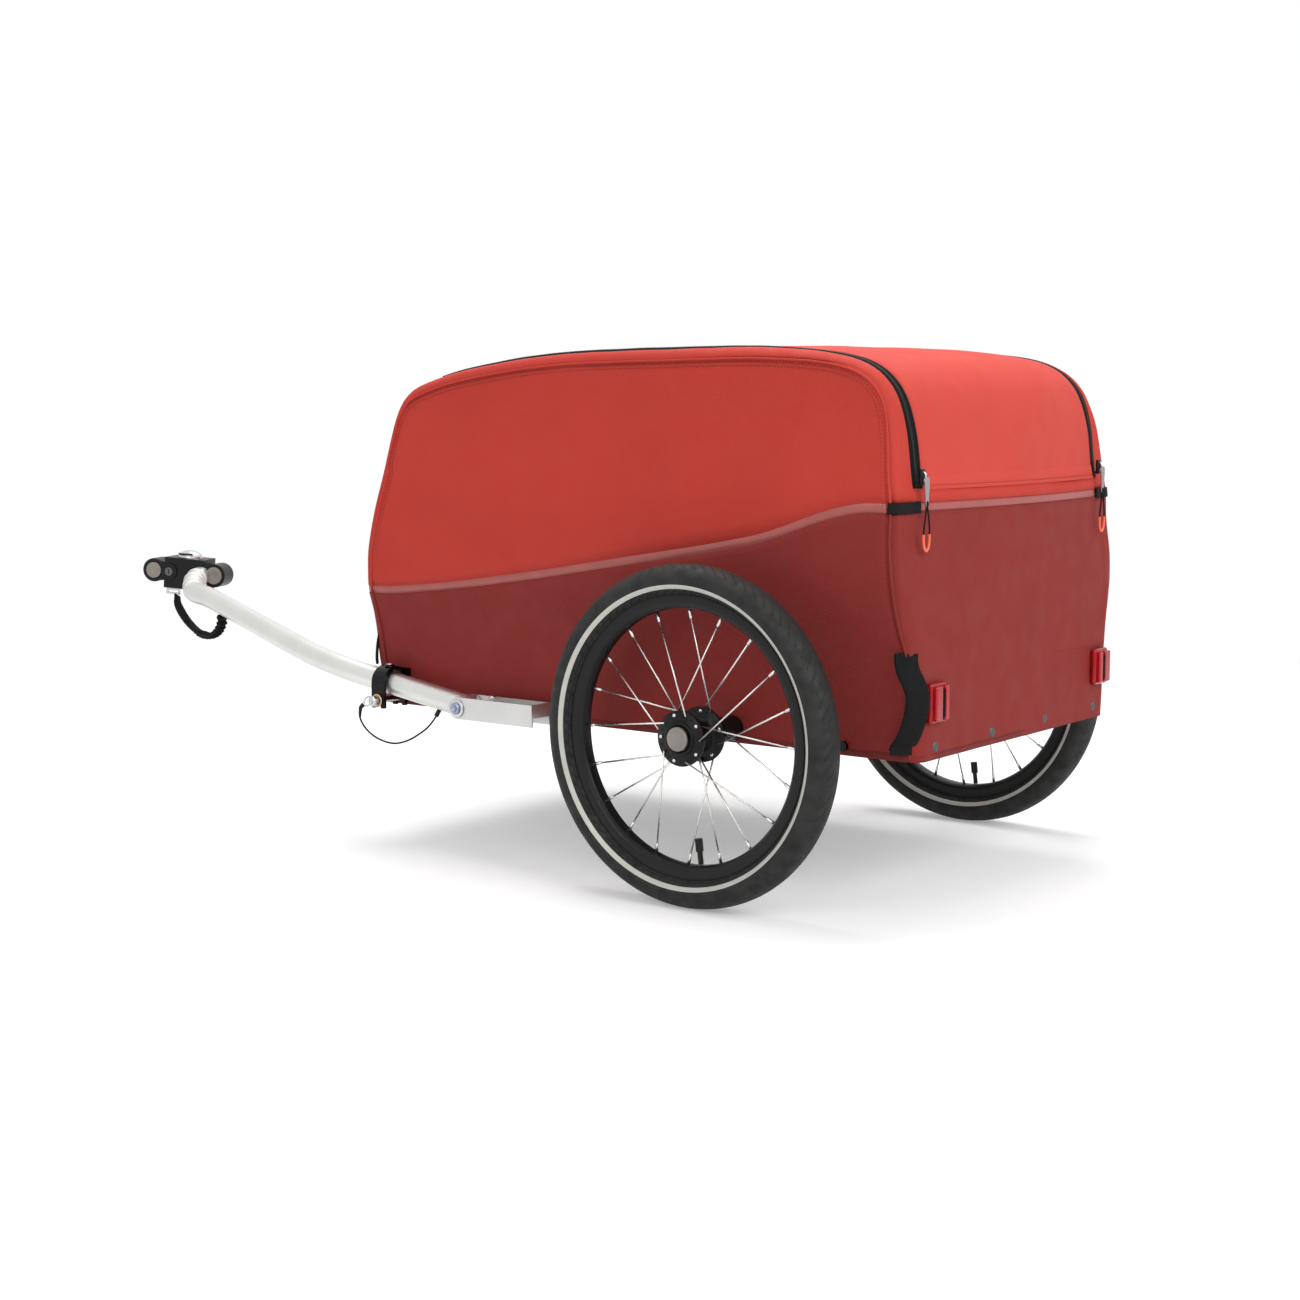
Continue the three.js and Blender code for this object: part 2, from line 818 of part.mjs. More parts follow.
function buildBracket() {
  const outerY = -towOffset - towTubeRadius - runningGap;
  const innerY = -towOffset + towTubeRadius + runningGap;
  const low = pivotHeight - bracketHeight / 2;
  const high = pivotHeight + bracketHeight / 2;
  const rear = -pivotAheadOfAxle + bracketLength;
  const ears = (y0, y1) => {
    const plate = block(-pivotAheadOfAxle, y0, low, rear, y1, high);
    const nose = bar(
      new THREE.Vector3(-pivotAheadOfAxle, y0, pivotHeight),
      new THREE.Vector3(-pivotAheadOfAxle, y1, pivotHeight),
      bracketHeight / 2,
      24,
    );
    return join(plate, nose);
  };
  const outerPlate = ears(outerY - bracketWall, outerY);
  const innerPlate = ears(innerY, innerY + bracketWall);
  const wallLow = pivotHeight - bracketWall;
  const rearWall = block(rear - bracketWall, outerY, wallLow, rear, innerY, high);
  const bore = bar(
    new THREE.Vector3(-pivotAheadOfAxle, outerY - overrun, pivotHeight),
    new THREE.Vector3(-pivotAheadOfAxle, innerY + overrun, pivotHeight),
    pivotBoltRadius + runningGap,
    16,
  );
  piece("tow_bracket", cut(join(outerPlate, innerPlate, rearWall), bore), aluminium);

  const washerIn = outerY - bracketWall - gap;
  const washerOut = washerIn - pivotWasherThickness;
  const y = (value) => new THREE.Vector3(-pivotAheadOfAxle, value, pivotHeight);
  const bolt = join(
    bar(y(washerOut), y(innerY + bracketWall), pivotBoltRadius, 12),
    bar(y(washerIn), y(washerOut), pivotWasherRadius, 24),
    bar(y(washerOut), y(washerOut - pivotHeadThickness), pivotHeadRadius, 20),
  );
  piece("pivot_bolt", bolt, steel);
}

function buildSaddle() {
  const x0 = -saddleAheadOfAxle - saddleLength / 2;
  const x1 = x0 + saddleLength;
  const centre = towPivot
    .clone()
    .addScaledVector(towDirection(), saddleAheadOfAxle - pivotAheadOfAxle);
  const innerHalf = towTubeRadius + 2 * gap;
  const outerHalf = innerHalf + saddleWall;
  const bottom = centre.z - towTubeRadius - saddleLegBelow;
  const span = (half, from, to) =>
    join(
      block(from, centre.y - half, bottom - (half < outerHalf ? overrun : 0), to, centre.y + half, centre.z),
      bar(
        new THREE.Vector3(from, centre.y, centre.z),
        new THREE.Vector3(to, centre.y, centre.z),
        half,
        24,
      ),
    );
  const rise = (saddleLength / 2) * (towRise / towRearLength);
  const pinZ = centre.z - towTubeRadius - pinBelowTube;
  const slot = block(
    -saddleAheadOfAxle - pinRadius - 4 * gap,
    centre.y - outerHalf - overrun,
    bottom - overrun,
    -saddleAheadOfAxle + pinRadius + 4 * gap,
    centre.y + outerHalf + overrun,
    pinZ + pinRadius + 2 * gap,
  );
  const footTop = centre.z + saddleFootRise;
  const foot = block(
    x0,
    centre.y + outerHalf - saddleWall / 2,
    footTop - saddleFootHeight,
    x1 + saddleFoot,
    -wallAt(footTop).half - gap,
    footTop,
  );
  const hollow = span(innerHalf + rise, x0 - overrun, x1 + overrun);
  const saddle = cut(join(span(outerHalf + rise, x0, x1), foot), hollow, slot);
  piece("tow_saddle", saddle, blackPlastic);
  return { centre, outerHalf: outerHalf + rise, pinZ };
}

const lanyardRoute = [
  [-148.9, -41.2, -9.9],
  [-152, -39, -24],
  [-148, -33, -38],
  [-140, -25, -49],
  [-130, -16, -56],
  [-118, -11, -58],
  [-105, -9, -55.5],
  [-92, -7.5, -50.5],
  [-79, -5.5, -43],
  [-66, -3, -33.5],
  [-55, -1.5, -21.5],
  [-47, 0, -8.8],
];

// The long bend: shares of the way from the end of the straight length to the neck.
const towBendShares = [
  [0, 0, 0],
  [0.187, 0.106, 0.176],
  [0.384, 0.319, 0.368],
  [0.736, 0.708, 0.735],
  [1, 1, 1],
];
// The elbow into the coupler: shares of the tube's radius, in the coupler's frame.
const tubeElbowShares = [
  [0.8, -3.3, -1.3],
  [0, -1.5, -0.5],
  [0, -0.25, -0.2],
  [0, 1.05, -0.2],
];

function buildTowBar(saddle) {
  const tow = new THREE.Group();
  trailer.add(tow);
  const direction = towDirection();
  const { housing, housingGroup } = buildCoupler();
  housingGroup.updateMatrixWorld(true);
  const bendStart = towPivot.clone().addScaledVector(direction, towStraightLength);
  const reach = towNeck.clone().sub(bendStart);
  const route = [0, 1 / 3, 2 / 3].map((share) =>
    towPivot.clone().addScaledVector(direction, share * towStraightLength),
  );
  for (const [x, y, z] of towBendShares) {
    const step = new THREE.Vector3(x * reach.x, y * reach.y, z * reach.z);
    route.push(bendStart.clone().add(step));
  }
  for (const [back, out, up] of tubeElbowShares) {
    const local = new THREE.Vector3(back, out, up).multiplyScalar(towTubeRadius);
    local.x += couplerSpan / 2 - tubeEndFromCap;
    route.push(housingGroup.localToWorld(local));
  }
  const curve = new THREE.CatmullRomCurve3(route, false, "centripetal");
  const tube = along(curve, roundSection(towTubeRadius, 14), 38);
  const eyeY = [-towOffset - towTubeRadius, -towOffset + towTubeRadius];
  const eye = bar(
    new THREE.Vector3(towPivot.x, eyeY[0], towPivot.z),
    new THREE.Vector3(towPivot.x, eyeY[1], towPivot.z),
    towTubeRadius - runningGap,
    24,
  );
  const bore = bar(
    new THREE.Vector3(towPivot.x, eyeY[0] - overrun, towPivot.z),
    new THREE.Vector3(towPivot.x, eyeY[1] + overrun, towPivot.z),
    pivotBoltRadius + runningGap,
    16,
  );
  const socket = housing.transform(housingGroup.matrix.elements);
  piece("tow_tube", cut(join(tube, eye), bore, socket), aluminium, tow);

  const outer = saddle.centre.y - saddle.outerHalf;
  const x = -saddleAheadOfAxle;
  const at = (y) => new THREE.Vector3(x, y, saddle.pinZ);
  const headIn = outer - gap;
  const headOut = headIn - pinHeadLength;
  const pin = join(
    bar(at(headOut), at(saddle.centre.y + saddle.outerHalf), pinRadius, 10),
    bar(at(headIn), at(headOut), pinHeadRadius, 14),
  );
  const ringCentre = new THREE.Vector3(x - pinHeadRadius, headOut - pinRadius / 2, saddle.pinZ);
  const ring = new THREE.TorusGeometry(pinRingRadius, pinRadius / 3, 6, 16);
  ring.rotateX(Math.PI / 3);
  ring.translate(ringCentre.x, ringCentre.y, ringCentre.z);
  piece("locking_pin", join(pin, toSolid(ring)), steel, tow);

  const lanyardCurve = new THREE.CatmullRomCurve3(
    lanyardRoute.map(([px, py, pz]) => new THREE.Vector3(px, py, pz).add(towPivot)),
  );
  piece("pin_lanyard", along(lanyardCurve, roundSection(lanyardRadius, 8), 30), webbing, tow);
}

// Coupler: a moulded housing with a hitch socket facing the bicycle
function couplerFrame() {
  const group = new THREE.Group();
  group.position.copy(couplerPlace);
  group.rotation.order = "ZYX";
  group.rotation.z = THREE.MathUtils.degToRad(couplerYaw);
  group.rotation.y = THREE.MathUtils.degToRad(couplerPitch);
  group.updateMatrix();
  return group;
}

function buildCoupler() {
  const group = couplerFrame();
  trailer.add(group);
  const front = -couplerSpan / 2;
  const rear = couplerSpan / 2;
  const point = (x, y, z) => new THREE.Vector3(x, y, z);
  const disc = (x, y0, y1, radius, sides = 24) =>
    bar(point(x, y0, 0), point(x, y1, 0), radius, sides);
  const blockStart = front + couplerCapRadius;
  const socketX = blockStart + blockLength / 2;
  const lockX = front + lockFromCap;
  const shell = join(
    disc(front, 0, couplerCapDepth, couplerCapRadius),
    disc(rear, 0, couplerCapDepth, couplerCapRadius),
    block(front, gap, -couplerCapRadius * 0.8, rear, couplerCapDepth, couplerCapRadius * 0.8),
    block(blockStart, -releaseButtonProud, -blockBottom, blockStart + blockLength, couplerDepth, blockTop),
    disc(lockX, -2 * releaseButtonProud, couplerDepth, lockBossRadius),
    bar(
      point(socketX, couplerDepth / 2, 0),
      point(socketX, couplerDepth, 0),
      cupRadius,
      24,
    ),
  );
  const buttonHole = disc(front, -overrun, releaseButtonDepth + releaseTravel + gap, releaseButtonRadius + runningGap);
  const lockHole = disc(lockX, -overrun, lockDepth, lockRadius + runningGap, 16);
  const hitchSocket = disc(socketX, couplerDepth - socketDepth, couplerDepth + overrun, socketRadius);
  const housing = cut(shell, buttonHole, lockHole, hitchSocket);
  piece("coupler_housing", housing, blackPlastic, group);

  const button = disc(front, -releaseButtonProud, releaseButtonDepth, releaseButtonRadius);
  piece("release_button", button, greyPlastic, group);

  const lockFace = -2 * releaseButtonProud - gap;
  const keySlot = block(
    lockX - keySlotWidth / 2,
    lockFace - overrun,
    -keySlotLength / 2,
    lockX + keySlotWidth / 2,
    lockFace + keySlotDepth,
    keySlotLength / 2,
  );
  piece("lock_core", cut(disc(lockX, lockFace, lockDepth - gap, lockRadius, 16), keySlot), steel, group);

  const dome = new THREE.SphereGeometry(
    cupRadius,
    20,
    6,
    0,
    2 * Math.PI,
    0,
    Math.PI / 2,
  );
  dome.rotateX(Math.PI / 2);
  const domeSolid = join(
    toSolid(closeBase(dome)).scale([1, 0.8, (cupRise - blockTop) / cupRadius]),
  ).translate([socketX, couplerDepth / 2, blockTop + gap]);
  piece("coupler_top_cap", domeSolid, steel, group);

  const loopX = socketX - strapWidth;
  const loopTop = -blockBottom - gap;
  const loop = cut(
    block(
      loopX - strapWidth / 2 - strapLoopThickness,
      0,
      loopTop - 3 * strapLoopThickness,
      loopX + strapWidth / 2 + strapLoopThickness,
      strapLoopThickness,
      loopTop,
    ),
    block(
      loopX - strapWidth / 2,
      -overrun,
      loopTop - 2 * strapLoopThickness,
      loopX + strapWidth / 2,
      overrun,
      loopTop - strapLoopThickness,
    ),
  );
  piece("strap_loop", loop, steel, group);
  return { housing, housingGroup: group };
}

// A half sphere gets a flat disc under it.
function closeBase(geometry) {
  const bare = geometry.clone();
  bare.deleteAttribute("normal");
  bare.deleteAttribute("uv");
  const merged = mergeVertices(bare);
  const position = merged.attributes.position;
  const rim = [];
  for (let i = 0; i < position.count; i++) {
    if (Math.abs(position.getZ(i)) < runningGap / 10) rim.push(i);
  }
  rim.sort(
    (a, b) =>
      Math.atan2(position.getY(a), position.getX(a)) -
      Math.atan2(position.getY(b), position.getX(b)),
  );
  const index = [...merged.index.array];
  for (let i = 1; i + 1 < rim.length; i++) index.push(rim[0], rim[i + 1], rim[i]);
  merged.setIndex(index);
  return merged;
}

const strapRoute = [
  [-8.3, -6.7, -34.4],
  [-3, -10.5, -45],
  [13, -18, -57],
  [35, -24, -71],
  [64, -32, -82],
  [93, -40, -86.5],
  [115, -46, -84.5],
  [134.5, -51.5, -75],
  [145, -54.3, -62],
  [145, -54.4, -50.8],
];

function buildSafetyStrap() {
  const half = strapWidth / 2;
  const thin = strapThickness / 2;
  const points = strapRoute.map(([x, y, z]) => new THREE.Vector3(x, y, z).add(couplerPlace));
  const curve = new THREE.CatmullRomCurve3(points, false, "centripetal");
  const steps = 18;
  const across = new THREE.Vector3(
    Math.sin(THREE.MathUtils.degToRad(couplerYaw)),
    -Math.cos(THREE.MathUtils.degToRad(couplerYaw)),
    0,
  );
  const rings = [];
  for (let i = 0; i <= steps; i++) {
    const point = curve.getPointAt(i / steps);
    const tangent = curve.getTangentAt(i / steps);
    const normal = new THREE.Vector3().crossVectors(tangent, across).normalize();
    const corner = (a, b) =>
      point.clone().addScaledVector(across, a).addScaledVector(normal, b);
    rings.push([corner(-half, -thin), corner(half, -thin), corner(half, thin), corner(-half, thin)]);
  }
  piece("safety_strap", loft(rings), webbing);
}

// Fittings on the rear wall and the corners
function buildRearFittings() {
  const reflectorBack = wallAt(reflectorLevel).rear + gap;
  for (const [side, sign] of [["left", -1], ["right", 1]]) {
    const y = sign * reflectorHalfSpacing;
    const half = reflectorWidth / 2;
    const low = reflectorLevel - reflectorHeight / 2;
    const high = reflectorLevel + reflectorHeight / 2;
    const housing = cut(
      block(reflectorBack, y - half, low, reflectorBack + reflectorDepth, y + half, high),
      block(
        reflectorBack + reflectorDepth - lensInset,
        y - half + lensInset,
        low + lensInset,
        reflectorBack + reflectorDepth + overrun,
        y + half - lensInset,
        high - lensInset,
      ),
    );
    piece("reflector_housing_" + side, housing, redLens);
    const lensGap = lensInset + gap;
    const lens = block(
      reflectorBack + reflectorDepth - lensInset + gap,
      y - half + lensGap,
      low + lensGap,
      reflectorBack + reflectorDepth + lensProud,
      y + half - lensGap,
      high - lensGap,
    );
    piece("reflector_lens_" + side, lens, redLens);
  }
  for (let i = 0; i < 4; i++) {
    const y = (i - 1.5) * rivetSpacing;
    const wallX = wallAt(rivetLevel).rear + gap;
    const at = (x) => new THREE.Vector3(x, y, rivetLevel);
    const rivet = bar(at(wallX), at(wallX + rivetHeight), rivetRadius, 14, rivetRadius * 0.6);
    piece("hem_rivet_" + (i + 1), rivet, steel);
  }
  for (const [side, sign] of [["left", -1], ["right", 1]]) {
    const y0 = sign * (wallAt(knobHeight).half + gap);
    const at = (y) => new THREE.Vector3(knobBehindAxle, y, knobHeight);
    const knob = bar(at(y0), at(y0 + sign * knobLength), knobRadius, 12);
    piece("hem_knob_" + side, knob, blackPlastic);
  }
}

function buildCornerStrap() {
  const diagonal = new THREE.Vector3(Math.SQRT1_2, -Math.SQRT1_2, 0);
  const acrossStrap = new THREE.Vector3(Math.SQRT1_2, Math.SQRT1_2, 0);
  const steps = 12;
  const rings = [];
  for (let i = 0; i <= steps; i++) {
    const share = i / steps;
    const out = cornerStrapBulge * Math.sin(Math.PI * share);
    const level = cornerStrapTop + (cornerStrapBottom - cornerStrapTop) * share;
    const wall = wallAt(level);
    const seat = rearCornerRadius + cornerStrapThickness / 2 + 2 * gap;
    const inboard = rearCornerRadius - wall.half;
    const centre = new THREE.Vector3(
      wall.rear - rearCornerRadius - wall.bow * (inboard / wall.half) ** 2,
      inboard,
      level,
    ).addScaledVector(diagonal, seat + out);
    const at = (a, b) =>
      centre
        .clone()
        .addScaledVector(acrossStrap, (a * cornerStrapWidth) / 2)
        .addScaledVector(diagonal, (b * cornerStrapThickness) / 2);
    rings.push([at(-1, -1), at(1, -1), at(1, 1), at(-1, 1)]);
  }
  piece("corner_strap", loft(rings), webbing);
}

function buildZipPulls() {
  const strip = block(
    0,
    zipHalfSpacing - sliderWidth / 2,
    sliderLevel - sliderLength / 2,
    farRear,
    zipHalfSpacing + sliderWidth / 2,
    sliderLevel + sliderLength / 2,
  );
  const surface = bodyForm(-zipProud).intersect(strip).boundingBox().max[0];
  for (const [side, sign] of [["left", -1], ["right", 1]]) {
    const y = sign * zipHalfSpacing;
    const x0 = surface + gap;
    const slider = block(
      x0,
      y - sliderWidth / 2,
      sliderLevel - sliderLength / 2,
      x0 + sliderDepth,
      y + sliderWidth / 2,
      sliderLevel + sliderLength / 2,
    );
    piece("zip_slider_" + side, slider, blackMetal);
    const pullX = x0 + sliderDepth + gap + pullRadius;
    const endSpread = pullRadius + gap;
    const loop = [
      [0, -endSpread],
      [-0.35, -endSpread],
      [-0.8, -pullSpread],
      [-1, 0],
      [-0.8, pullSpread],
      [-0.35, endSpread],
      [0, endSpread],
    ].map(([down, spread]) => new THREE.Vector3(pullX, y + spread, sliderLevel + down * pullLength));
    const curve = new THREE.CatmullRomCurve3(loop, false, "centripetal");
    piece("zip_pull_" + side, along(curve, roundSection(pullRadius, 5), 16), webbing);
  }
}

buildBody();
buildFrame();
buildWheels();
buildBracket();
buildTowBar(buildSaddle());
buildSafetyStrap();
buildRearFittings();
buildCornerStrap();
buildZipPulls();
trailer.position.x = originAheadOfAxle;

export default trailer;
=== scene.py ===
import math
from contextlib import contextmanager
from itertools import groupby

import bmesh
import bpy
import numpy as np
from mathutils import Matrix, Vector, noise


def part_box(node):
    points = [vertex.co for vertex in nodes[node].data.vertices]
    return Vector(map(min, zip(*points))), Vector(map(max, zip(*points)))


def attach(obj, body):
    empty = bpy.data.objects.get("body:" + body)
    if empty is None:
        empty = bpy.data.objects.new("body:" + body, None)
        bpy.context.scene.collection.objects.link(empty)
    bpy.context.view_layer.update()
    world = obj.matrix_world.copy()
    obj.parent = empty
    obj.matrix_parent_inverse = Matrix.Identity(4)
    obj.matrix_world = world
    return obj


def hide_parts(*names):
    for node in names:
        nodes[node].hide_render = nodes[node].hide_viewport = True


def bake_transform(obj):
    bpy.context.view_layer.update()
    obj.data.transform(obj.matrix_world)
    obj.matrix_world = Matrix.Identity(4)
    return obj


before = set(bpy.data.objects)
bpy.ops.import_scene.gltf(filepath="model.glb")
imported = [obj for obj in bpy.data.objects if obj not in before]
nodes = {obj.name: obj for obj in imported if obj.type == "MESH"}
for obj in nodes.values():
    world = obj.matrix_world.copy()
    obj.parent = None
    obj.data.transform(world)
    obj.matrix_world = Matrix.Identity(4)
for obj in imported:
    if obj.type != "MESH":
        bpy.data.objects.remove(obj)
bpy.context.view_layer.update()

MM = 0.001
WAY_X, WAY_Y, WAY_Z = Vector((1, 0, 0)), Vector((0, 1, 0)), Vector((0, 0, 1))
WHITE = (1, 1, 1, 1)
SIDES = (("left", -1), ("right", 1))
MERGE_GAP = 1e-6
CURVE_STEPS = 24


# Objects and meshes
def new_object(name, data, material=None):
    thing = bpy.data.objects.new(name, data)
    bpy.context.scene.collection.objects.link(thing)
    if material is not None:
        data.materials.append(material)
    if hasattr(data, "polygons"):
        data.polygons.foreach_set("use_smooth", [True] * len(data.polygons))
    return thing


def aimed(name, data, place, target):
    """A camera or a light at its place, turned to its target."""
    thing = new_object(name, data)
    thing.location = place
    thing.rotation_mode = "QUATERNION"
    thing.rotation_quaternion = (Vector(target) - Vector(place)).to_track_quat("-Z", "Y")
    return thing


def mesh_object(name, points, faces, material=None):
    mesh = bpy.data.meshes.new(name)
    mesh.from_pydata([tuple(p) for p in points], [], faces)
    mesh.update()
    return new_object(name, mesh, material)


@contextmanager
def edited(mesh):
    """A mesh opened for changes, and closed again."""
    work = bmesh.new()
    work.from_mesh(mesh)
    yield work
    work.to_mesh(mesh)
    work.free()


def settle(thing):
    """Applies a piece's modifiers."""
    bpy.context.view_layer.update()
    graph = bpy.context.evaluated_depsgraph_get()
    mesh = bpy.data.meshes.new_from_object(thing.evaluated_get(graph))
    thing.modifiers.clear()
    thing.data = mesh
    return thing


def bevelled(thing, width, segments=3, angle=35):
    bevel = thing.modifiers.new("bevel", "BEVEL")
    bevel.width = width
    bevel.segments = segments
    bevel.limit_method = "ANGLE"
    bevel.angle_limit = math.radians(angle)
    bevel.harden_normals = False
    return thing


def thickened(thing, thickness, offset):
    thick = thing.modifiers.new("thickness", "SOLIDIFY")
    thick.thickness = thickness
    thick.offset = offset
    return settle(thing)


def join_objects(name, things):
    """One object made of several, each with its own material."""
    for thing in things:
        settle(thing)
    with bpy.context.temp_override(
        active_object=things[0], selected_editable_objects=things, selected_objects=things
    ):
        bpy.ops.object.join()
    things[0].name = name
    return things[0]


def dress(thing, body, slot, *replaced):
    """Puts a finished piece on its body, in place of its CAD nodes; the slot is not used."""
    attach(thing, body)
    if replaced:
        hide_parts(*replaced)
    return thing


def grid_faces(rows, columns, closed_rows=False, closed_columns=False):
    faces = []
    for i in range(rows if closed_rows else rows - 1):
        here, after = i * columns, (i + 1) % rows * columns
        for j in range(columns if closed_columns else columns - 1):
            beside = (j + 1) % columns
            faces.append((here + j, here + beside, after + beside, after + j))
    return faces


def skin_mesh(name, skins, material, closed_rows=False, closed_columns=False, ends=False):
    """One object of several skins: each is rows of points that may close round or have flat ends."""
    points, faces = [], []
    for rows in skins:
        start, columns = len(points), len(rows[0])
        loops = grid_faces(len(rows), columns, closed_rows, closed_columns)
        if ends:
            last = (len(rows) - 1) * columns
            loops += [tuple(range(columns))[::-1], tuple(range(last, last + columns))]
        faces += [tuple(start + k for k in loop) for loop in loops]
        points += [point for row in rows for point in row]
    thing = mesh_object(name, points, faces, material)
    with edited(thing.data) as work:
        bmesh.ops.remove_doubles(work, verts=work.verts, dist=MERGE_GAP)
        bmesh.ops.recalc_face_normals(work, faces=work.faces)
    return thing


def mm(rows):
    return [tuple(value * MM for value in row) for row in rows]


def relative(base, rows):
    """Points in millimetres from a base."""
    return [base + Vector(row) * MM for row in rows]


def middle(node):
    low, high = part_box(node)
    return (low + high) / 2


def circle(count):
    """The cosine and sine of even turns."""
    turns = [2 * math.pi * k / count for k in range(count)]
    return [(math.cos(turn), math.sin(turn)) for turn in turns]


def turned_mesh(name, profile, segments, material, place=Vector(), axis="Y", closed=False):
    """A turned piece: the profile is [(radius, along)], turned about an axis through place."""
    rows = []
    for cos, sin in circle(segments):
        row = []
        for radius, along in profile:
            a, b = radius * cos, radius * sin
            row.append(place + Vector({"X": (along, a, b), "Y": (a, along, b), "Z": (a, b, along)}[axis]))
        rows.append(row)
    return skin_mesh(name, [rows], material, closed_rows=True, closed_columns=closed)


def turned_detail(name, rows, segments, material, place, body, slot, **shape):
    """A small turned piece on its body, with its profile in millimetres; the slot is not used."""
    return dress(turned_mesh(name, mm(rows), segments, material, place, **shape), body, slot)


def rounded_box(name, low, high, radius, material, segments=3):
    mesh = bpy.data.meshes.new(name)
    with edited(mesh) as work:
        bmesh.ops.create_cube(work, size=1)
        for vertex in work.verts:
            shares = vertex.co + Vector((0.5, 0.5, 0.5))
            vertex.co = [a + (b - a) * share for a, b, share in zip(low, high, shares)]
        edges = work.edges[:]
        bmesh.ops.bevel(work, geom=edges, offset=radius, segments=segments, profile=0.5, affect="EDGES")
    return new_object(name, mesh, material)


# Paths, and tubes and straps along them
def mixed(first, second, start, end, time):
    return first * ((end - time) / (end - start)) + second * ((time - start) / (end - start))


def smooth_path(points, steps):
    """Points at even steps on a centripetal curve through the given ones."""
    given = [Vector(p) for p in points]
    given = [2 * given[0] - given[1], *given, 2 * given[-1] - given[-2]]
    dense = []
    for four in zip(given, given[1:], given[2:], given[3:]):
        times = [0.0]
        for a, b in zip(four, four[1:]):
            times.append(times[-1] + max((b - a).length, 1e-9) ** 0.5)
        for k in range(CURVE_STEPS):
            time = times[1] + (times[2] - times[1]) * k / CURVE_STEPS
            three = [mixed(four[i], four[i + 1], times[i], times[i + 1], time) for i in range(3)]
            two = [mixed(three[i], three[i + 1], times[i], times[i + 2], time) for i in range(2)]
            dense.append(mixed(*two, times[1], times[2], time))
    dense.append(given[-2])
    spans = [0.0]
    for a, b in zip(dense, dense[1:]):
        spans.append(spans[-1] + (b - a).length)
    places = np.linspace(0, spans[-1], steps + 1)
    axes = [np.interp(places, spans, [p[axis] for p in dense]) for axis in range(3)]
    return [Vector(point) for point in np.stack(axes, axis=1)]


def at_share(value, share):
    """A value that is given as such, or as a function of the share of a length."""
    return value(share) if callable(value) else value


def tube_rows(path, radius, sides, up):
    rows = []
    normal = up
    last = len(path) - 1
    for i, centre in enumerate(path):
        ahead = (path[min(i + 1, last)] - path[max(i - 1, 0)]).normalized()
        normal = normal - ahead * normal.dot(ahead)
        if not rows and normal.length < MM:
            normal = WAY_X - ahead * ahead.x
        normal.normalize()
        side = ahead.cross(normal)
        size = at_share(radius, i / last)
        rows.append([centre + normal * (size * cos) + side * (size * sin) for cos, sin in circle(sides)])
    return rows


def several_tubes(name, runs, sides, material, up=WAY_Z):
    """Many straight or bent round bars as one object. Each run is a path and a radius."""
    skins = [tube_rows(path, radius, sides, up) for path, radius in runs]
    return skin_mesh(name, skins, material, closed_columns=True, ends=True)


def tube_mesh(name, path, radius, sides, material, up=WAY_Z):
    return several_tubes(name, [(path, radius)], sides, material, up)


def ribbon_mesh(name, path, across, width, thickness, material, lift=0):
    """A flat strap along a path. across, thickness and lift may be functions of its share."""
    half_turn = [(-1, -1), (-0.5, -1), (0, -1), (0.5, -1), (1, -1)]
    section = half_turn + [(-a, -b) for a, b in half_turn]
    rows = []
    last = len(path) - 1
    for i, centre in enumerate(path):
        ahead = (path[min(i + 1, last)] - path[max(i - 1, 0)]).normalized()
        side = at_share(across, i / last)
        side = (side - ahead * side.dot(ahead)).normalized()
        raised, half_thick = at_share(lift, i / last), at_share(thickness, i / last) / 2
        row = []
        for a, b in section:
            edge = 0.75 if abs(a) == 1 else 1
            row.append(centre + side * (a * width / 2) + ahead.cross(side) * (b * edge * half_thick + raised))
        rows.append(row)
    return skin_mesh(name, [rows], material, closed_columns=True, ends=True)


# Materials
TYRE_LOW, TYRE_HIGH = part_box("tyre_left")
TYRE_RADIUS = TYRE_HIGH.z / 2
TYRE_HALF = (TYRE_HIGH.y - TYRE_LOW.y) / 2
RIM_RADIUS = (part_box("rim_left")[1].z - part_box("rim_left")[0].z) / 2
TREAD_CUTS = 84
TREAD_SLANT = 90
CLOTH_PITCH = 0.0011
LENS_CELL = 0.0022


def srgb(tone):
    """A colour written as it looks on screen, from 0 to 255."""
    shares = [value / 255 for value in tone]
    return (*[s / 12.92 if s <= 0.04045 else ((s + 0.055) / 1.055) ** 2.4 for s in shares], 1)


def varied(colour, share):
    return tuple(min(1, c * share) for c in colour[:3]) + (1,)


class Tree:
    """A node tree, with short calls for the nodes that it uses."""

    def __init__(self, owner):
        owner.use_nodes = True
        self.nodes = owner.node_tree.nodes
        self.links = owner.node_tree.links

    def feed(self, socket, source):
        """Gives an input a value, or links it to a node or to one of a node's outputs."""
        if isinstance(source, (bpy.types.Node, bpy.types.NodeSocket)):
            self.links.new(source.outputs[0] if hasattr(source, "outputs") else source, socket)
        else:
            socket.default_value = source

    def fill(self, node, values):
        for key, value in values.items():
            self.feed(node.inputs[key.replace("_", " ")], value)

    def node(self, kind, *sources, operation=None, **values):
        made = self.nodes.new("ShaderNode" + kind)
        if operation:
            made.operation = operation
        for socket, source in zip(made.inputs, sources):
            self.feed(socket, source)
        self.fill(made, values)
        return made

    def maths(self, operation, *values):
        return self.node("Math", *values, operation=operation)

    def ramp(self, value, stops):
        ramp = self.node("ValToRGB", value)
        elements = ramp.color_ramp.elements
        while len(elements) < len(stops):
            elements.new(0.5)
        for element, (position, colour) in zip(elements, stops):
            element.position = position
            element.color = colour if hasattr(colour, "__len__") else (colour,) * 3 + (1,)
        return ramp

    def place(self, scale):
        return self.node("Mapping", self.node("TexCoord").outputs["Object"], Scale=scale)


